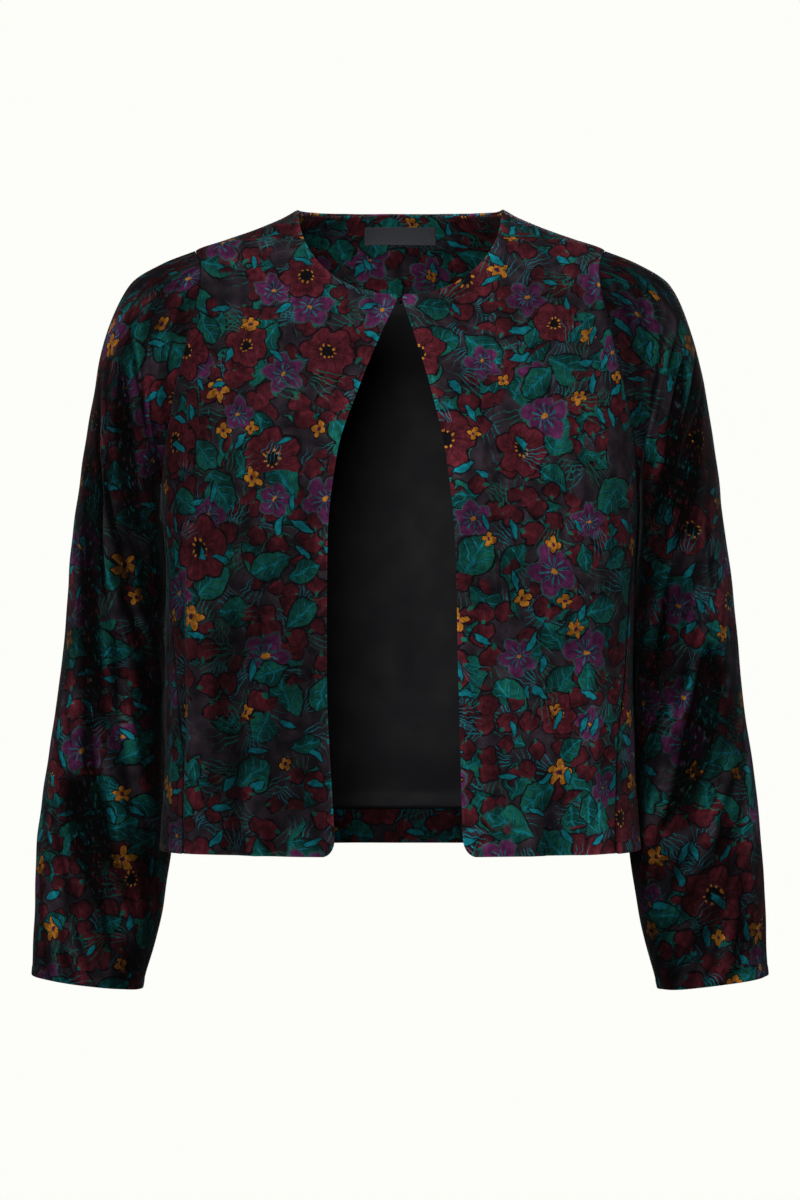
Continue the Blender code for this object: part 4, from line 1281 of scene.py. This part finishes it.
def velvet(name, depth, sheen_streaks, glint_strength, lean=0.0):
    """Printed cotton velvet: a short pile with a sheen. Its colour carries painted light: darker by depth
    for the shade each piece shows, darker in places and lighter in others by the painted light on its
    points, streaked by the combed, crushed pile as painted sheen, and flecked with painted glints."""
    material, g, shader = new_material(name)
    flat = cut_place(g)
    # Painted light and shade carried on the points
    painted_light_value = g.add("ShaderNodeAttribute", "Fac", {}, attribute_name="nap")
    clouds = g.noise(flat, 0.050, 3.0)
    leaning = g.add("ShaderNodeVectorRotate", 0, {"Vector": flat, "Angle": lean}, rotation_type="Z_AXIS")
    combed = g.noise(g.vector("MULTIPLY", leaning, (1.0, 0.16, 1.0)), 0.011, 3.0)
    pile = g.noise(flat, 0.0009, 2.0)
    light = g.times(g.ramp(clouds, 0.3, 0.7, 0.66, 1.22), g.ramp(pile, 0.25, 0.75, 0.80, 1.16))
    # The combed streaks of crushed pile lighten and darken the colour: painted sheen
    light = g.times(light, g.ramp(combed, 0.32, 0.68, 1 - sheen_streaks, 1 + sheen_streaks * 0.6))
    # Painted glints: small bright flecks where the crushed pile would catch the light
    glint_noise = g.noise(g.vector("MULTIPLY", leaning, (1.0, 0.3, 1.0)), 0.0022, 1.0)
    painted_light_value = g.math("MAXIMUM", painted_light_value, g.ramp(glint_noise, 0.55, 0.68, 0.0, glint_strength))
    # depth paints the shade of the whole piece into its colour
    light = g.times(g.times(light, painted_light_value), depth)
    g.put(shader.inputs["Base Color"], g.vector("MULTIPLY", print_colour(g, flat), g.grey(light)))
    g.put(shader.inputs["Roughness"], g.ramp(clouds, 0.3, 0.7, 0.82, 0.92))
    shader.inputs["Specular IOR Level"].default_value = 0.06
    shader.inputs["Sheen Weight"].default_value = 0.035
    shader.inputs["Sheen Roughness"].default_value = 0.38
    shader.inputs["Sheen Tint"].default_value = (0.72, 0.74, 0.80, 1.0)
    g.put(shader.inputs["Normal"], bump(g, g.plus(pile, g.times(combed, 0.8)), 0.35, 0.0007))
    return material


def satin(name):
    """Black lining: a smooth satin with a faint twill line and soft pressed creases."""
    material, g, shader = new_material(name)
    flat = cut_place(g)
    x, y, _ = g.parts(flat)
    twill = g.math("SINE", g.times(g.plus(x, g.times(y, 0.7)), 2 * math.pi / 0.0007))
    wear = g.noise(flat, 0.03, 4.0)
    g.put(shader.inputs["Base Color"],
          g.mix(g.ramp(wear, 0.3, 0.7), linear((13, 13, 16)), linear((16, 16, 20))))
    g.put(shader.inputs["Roughness"], g.ramp(wear, 0.3, 0.7, 0.52, 0.60))
    shader.inputs["Specular IOR Level"].default_value = 0.10
    soft = g.noise(g.vector("MULTIPLY", flat, (1.0, 0.22, 1.0)), 0.020, 2.0)
    g.put(shader.inputs["Normal"],
          bump(g, g.plus(g.times(twill, 0.06), soft), 0.14, 0.0012))
    return material


def woven_label(name):
    """A bare woven label of fine threads across and along."""
    material, g, shader = new_material(name)
    flat = cut_place(g)
    x, y, _ = g.parts(flat)
    across = g.math("SINE", g.times(x, 2 * math.pi / 0.0005))
    along = g.math("SINE", g.times(y, 2 * math.pi / 0.0006))
    weave = g.plus(g.times(g.times(across, along), 0.5), 0.5)
    g.put(shader.inputs["Base Color"], g.mix(weave, linear((44, 45, 49)), linear((60, 61, 67))))
    g.put(shader.inputs["Roughness"], g.ramp(weave, 0.0, 1.0, 0.7, 0.55))
    g.put(shader.inputs["Normal"], bump(g, weave, 0.5, 0.0002))
    return material


def thread(name, colour):
    material, g, shader = new_material(name)
    place = g.add("ShaderNodeTexCoord", "Object", {})
    twist = g.noise(place, 0.0004, 2.0)
    g.put(shader.inputs["Base Color"], g.mix(twist, linear(colour), linear([c * 0.7 for c in colour])))
    g.put(shader.inputs["Roughness"], g.ramp(twist, 0.3, 0.7, 0.6, 0.8))
    return material


def black_wire(name):
    """Black lacquered wire, worn a little bright in places."""
    material, g, shader = new_material(name)
    place = g.add("ShaderNodeTexCoord", "Object", {})
    wear = g.noise(place, 0.0012, 3.0)
    g.put(shader.inputs["Base Color"],
          g.mix(g.ramp(wear, 0.6, 0.75), linear((18, 18, 19)), linear((70, 68, 66))))
    g.put(shader.inputs["Roughness"], g.ramp(wear, 0.3, 0.7, 0.25, 0.45))
    shader.inputs["Metallic"].default_value = 0.8
    return material


def behind_front(x, up, depth):
    """Places behind the fronts near the hook: across, up from the hook, and further inside."""
    drop = HOOK_DROP - np.asarray(up, float)
    phi = phi_of_x(np.asarray(x, float), drop)
    back = CLOTH + HOOK_BEHIND_CLOTH + np.asarray(depth, float)
    return torso_base(phi, drop) - torso_normal(phi, drop) * back[..., None]


def wire(name, lines, thickness, material, node, round_steps=4, closed=False):
    curve = bpy.data.curves.new(name, "CURVE")
    curve.dimensions = "3D"
    curve.bevel_depth = thickness
    curve.bevel_resolution = round_steps
    curve.use_fill_caps = True
    for line in lines:
        spline = curve.splines.new("POLY")
        spline.use_cyclic_u = closed
        spline.points.add(len(line) - 1)
        spline.points.foreach_set("co", np.column_stack([line, np.ones(len(line))]).reshape(-1))
    curve.materials.append(material)
    obj = bpy.data.objects.new(name, curve)
    bpy.context.scene.collection.objects.link(obj)
    return finish_piece(obj, node)


def armhole_roll(name, side, material):
    """The armhole seam's two turned-in edges: towards the armhole's middle, and behind the panel."""
    phi, drop = armhole(ARMHOLE_STEPS * shares(ROLL_POINTS)[:-1])
    line = torso_point(phi, drop)
    along = unit(np.roll(line, -1, axis=0) - np.roll(line, 1, axis=0))
    axis = unit(np.cross(line - line.mean(axis=0), along).sum(axis=0))
    depth = CLOTH + SEAM_ROLL
    lines = [line + np.cross(axis, along) * depth, torso_point(phi, drop, 0 * drop - depth - ROLL_GAP)]
    lines = [turned * np.array([side, 1, 1]) for turned in lines]
    wire(name, lines, SEAM_ROLL, material, None, closed=True)


def seam_rolls(name, side, material):
    """The turned-in edges of the side and shoulder seams, rolled behind them."""
    lines = []
    for step, hem_deg in ((SIDE_FRONT_STEP, SIDE_FRONT_HEM_DEG), (SIDE_BACK_STEP, SIDE_BACK_HEM_DEG)):
        _, top = armhole(step)
        drop = mix(HEM_DROP - ROLL_END, top, shares(ROLL_POINTS))
        lines.append((seam(step, hem_deg, drop), drop))
    drop = mix(ROLL_END, SHOULDER_POINT_DROP, shares(ROLL_POINTS))
    lines.append((np.pi / 2 + 0 * drop, drop))
    lines = [torso_point(side * phi, drop, 0 * drop - CLOTH - SEAM_ROLL - ROLL_GAP) for phi, drop in lines]
    wire(name, lines, SEAM_ROLL, material, None)


def hook_and_eye(material):
    turn = math.pi * shares(BEND_STEPS)
    half, bend = HOOK_SPREAD, HOOK_BEND_RADIUS
    x = np.concatenate([[EYE_FOOT], EYE_REACH - half * np.sin(turn), [EYE_FOOT]])
    up = np.concatenate([[half], half * np.cos(turn), [-half]])
    wire("eye_wire", [behind_front(x, up, 0 * x)], WIRE_RADIUS, material, "eye")
    bar_x = EYE_REACH - half
    x = np.concatenate([[-HOOK_FOOT], bar_x + bend * np.sin(turn), [bar_x - bend]])
    depth = np.concatenate([[bend], bend * np.cos(turn), [-bend]])
    wire("hook_wire", [behind_front(x, 0 * x, depth)], WIRE_RADIUS, material, "hook")


def sew_label(material):
    """Short stitches through both ends of the label."""
    lines = []
    pitch = LABEL_HEIGHT / (LABEL_STITCHES + 1)
    inside = INNER_OFFSET + CLOTH + LABEL_GAP + LABEL_CLOTH + LABEL_FOLD_CLOTH
    for end in (-1, 1):
        for i in range(LABEL_STITCHES):
            drop = LABEL_TOP_DROP + pitch * (i + STITCH_START + STITCH_SHARE * shares(2))
            phi = np.pi - phi_of_x(end * (LABEL_WIDTH - LABEL_FOLD) / 2 + 0 * drop, drop)
            lines.append(torso_point(phi, drop, 0 * drop - inside))
    wire("label_stitches", lines, STITCH_RADIUS, material, None, 2)


# The pieces, each with the flat size of its cut: width, length and area

Cut = namedtuple("Cut", "node width length area")
CUTS = rows(Cut, [
    ("front_right", 0.243, 0.622, 0.0897),
    ("front_left", 0.243, 0.622, 0.0944),
    ("side_right", 0.125, 0.335, 0.0299),
    ("side_left", 0.125, 0.335, 0.0299),
    ("back", 0.455, 0.622, 0.2366),
    ("sleeve_right", 0.502, 0.678, 0.2095),
    ("sleeve_left", 0.502, 0.678, 0.2094),
    ("back_neck_facing", 0.429, 0.138, 0.0294),
    ("back_lining", 0.455, 0.495, 0.1913),
    ("back_hem_facing", 0.413, 0.031, 0.0127),
    ("neck_label", 0.066, 0.019, 0.0012),
])
INNER_OFFSET = CLOTH + SEAM_GAP


def build_outside():
    # The body's velvet is painted at nearly full depth; the last two numbers set the painted sheen streaks
    # and glints
    body = [velvet("velvet_body", 0.98, 0.22, 0.50), SATIN]
    for name, side in (("right", -1), ("left", 1)):
        body_piece(f"front_{name}", front_places(side), 0.0, (2.3 + side * 1.31, 0.42), body, "velvet",
                   rolled=("low", "first"), high=SEAM_EDGE, last=SEAM_EDGE)
        body_piece(f"side_{name}", side_places(side), side * np.pi / 2, (8.1 + side * 1.17, 2.93), body,
                   "velvet", rolled=("low",), high=SEAM_EDGE, first=SEAM_EDGE, last=SEAM_EDGE)
    body_piece("back", back_places(), np.pi, (0.0, 3.14), body, "velvet", rolled=("low", "high"),
               first=SEAM_EDGE, last=SEAM_EDGE)
    for sleeve in SLEEVES:
        # The sleeves' velvet is painted darker: painted shade for the light their nap gives back
        cloth = velvet(sleeve.name + "_velvet", 0.52, 0.62, 0.80, sleeve.lean)
        sleeve_piece(sleeve, [cloth, SATIN])


def lining_fullness(phi):
    """How far the lining stands in from the back: soft waves, and a fold over the hem's facing,
    both held flat at its sewn top and sides."""
    rows, columns = phi.shape
    up, along = np.arange(rows)[:, None], np.arange(columns)[None, :]
    fold = LINING_FOLD * (1 - smooth_step((up - 1) / LINING_FOLD_ROWS))
    wave = LINING_WAVE * (1 + np.sin(LINING_TURNS * phi) * np.sin(LINING_SLOW_TURNS * phi + 1))
    from_seams = np.minimum(rows - 1 - up, np.minimum(along, columns - 1 - along))
    return (fold + wave) * smooth_step(from_seams / LINING_FOLD_ROWS)


def build_inside():
    """The layers inside the back, made from the back's own places."""
    phi, drop = back_places()
    phi = np.pi + (phi - np.pi) * LAYER_SHARE
    hem, top = HEM_FACING_ROWS, SHOULDER_ROWS
    # The facings' velvet is painted darker, for the shade inside the jacket
    facing = [velvet("velvet_facing", 0.66, 0.22, 0.40)]
    body_piece("back_neck_facing", (phi[-top - 1:], drop[-top - 1:]), np.pi, (4.7, 0.83), facing,
               "velvet_facing", outside=INNER_OFFSET, low=SEAM_EDGE)
    lining = phi[hem:-top], drop[hem:-top]
    body_piece("back_lining", lining, np.pi, (0.0, 0.0), [SATIN], "lining", outside=INNER_OFFSET,
               thickness=LINING_CLOTH, fuller=lining_fullness(lining[0]), low=SEAM_EDGE,
               high=SEAM_EDGE + LINING_TOP_GAP)
    body_piece("back_hem_facing", (phi[:hem + 1], drop[:hem + 1]), np.pi, (8.25, 0.55), facing,
               "velvet_facing", outside=INNER_OFFSET, high=SEAM_EDGE)
    label = label_places()
    body_piece("neck_label", label, np.pi, (0.0, 0.0), [woven_label("label_weave")], "label",
               outside=INNER_OFFSET + CLOTH + LABEL_GAP, thickness=LABEL_CLOTH, fuller=label_ends(*label))
    sew_label(thread("label_thread", (78, 76, 80)))


SATIN = satin("satin_lining")
SATIN_ROLL = thread("satin_roll", (27, 27, 31))
build_outside()
build_inside()
for side_name, side_sign in (("right", -1), ("left", 1)):
    armhole_roll(f"armhole_roll_{side_name}", side_sign, SATIN_ROLL)
    seam_rolls(f"seam_rolls_{side_name}", side_sign, SATIN_ROLL)
hook_and_eye(black_wire("hook_wire"))

# Stage, light and camera
CAMERA_DISTANCE = 3.6
CAMERA_Z = NECK_POINT_Z - 0.3393
VIEW_HEIGHT = 1.044
FLOOR_Z = -1.15
STUDIO_RADIUS = 14.0
FLOOR_SIDES = 96
DOME_SIDES = 64
DOME_RINGS = 32
SKY_COLOUR = (0.9, 0.95, 1.0, 1.0)
SKY_STRENGTH = 0.07
PALE = linear((253, 253, 249))


def pale(name):
    """An even, pale studio surface that lends the jacket no light of its own."""
    material = bpy.data.materials.new(name)
    material.use_nodes = True
    tree = material.node_tree
    tree.nodes.clear()
    glow = tree.nodes.new("ShaderNodeEmission")
    glow.inputs["Color"].default_value = PALE
    out = tree.nodes.new("ShaderNodeOutputMaterial")
    tree.links.new(glow.outputs[0], out.inputs[0])
    return material


def add_stage():
    material = pale("pale_studio")
    bpy.ops.mesh.primitive_circle_add(vertices=FLOOR_SIDES, radius=STUDIO_RADIUS, fill_type="NGON",
                                      location=(0, 0, FLOOR_Z))
    floor = bpy.context.object
    floor.name = "floor"
    bpy.ops.mesh.primitive_uv_sphere_add(segments=DOME_SIDES, ring_count=DOME_RINGS, radius=STUDIO_RADIUS)
    dome = bpy.context.object
    dome.name = "studio_dome"
    for obj in (floor, dome):
        obj.data.materials.append(material)
        obj.visible_diffuse = False
        obj.visible_glossy = False
        obj.visible_transmission = False
        obj.visible_shadow = False


Light = namedtuple("Light", "name place target size power")
LIGHTS = rows(Light, [
    ("key", (-0.45, -3.5, 0.40), (0, 0, -0.28), 1.3, 74.0),
    ("fill", (1.9, -2.6, 0.6), (0, 0, -0.3), 1.6, 14.0),
    ("top", (0.2, -0.2, 2.6), (0, 0, -0.2), 1.4, 12.0),
    ("back", (0.5, 3.2, 0.7), (0, 0, -0.3), 1.8, 66.0),
    ("side_left", (3.1, 0.9, 0.6), (0, 0, -0.3), 1.6, 16.0),
    ("side_right", (-3.1, 0.9, 0.6), (0, 0, -0.3), 1.6, 16.0),
])


def add_light(light):
    lamp = bpy.data.lights.new(light.name, "AREA")
    lamp.shape = "DISK"
    lamp.size = light.size
    lamp.energy = light.power
    obj = bpy.data.objects.new(light.name, lamp)
    bpy.context.scene.collection.objects.link(obj)
    obj.location = light.place
    obj.rotation_euler = (Vector(light.target) - Vector(light.place)).to_track_quat("-Z", "Y").to_euler()
    obj.visible_camera = False


def add_camera():
    camera = bpy.data.cameras.new("camera")
    camera.lens = camera.sensor_width * CAMERA_DISTANCE / VIEW_HEIGHT
    obj = bpy.data.objects.new("camera", camera)
    bpy.context.scene.collection.objects.link(obj)
    obj.location = (0.0, -CAMERA_DISTANCE, CAMERA_Z)
    obj.rotation_euler = (math.pi / 2, 0.0, 0.0)
    bpy.context.scene.camera = obj


add_stage()
for studio_light in LIGHTS:
    add_light(studio_light)
add_camera()
world = bpy.data.worlds.new("studio")
bpy.context.scene.world = world
world.use_nodes = True
world.node_tree.nodes["Background"].inputs["Color"].default_value = SKY_COLOUR
world.node_tree.nodes["Background"].inputs["Strength"].default_value = SKY_STRENGTH
bpy.context.scene.view_settings.view_transform = "Standard"

bpy.context.view_layer.update()
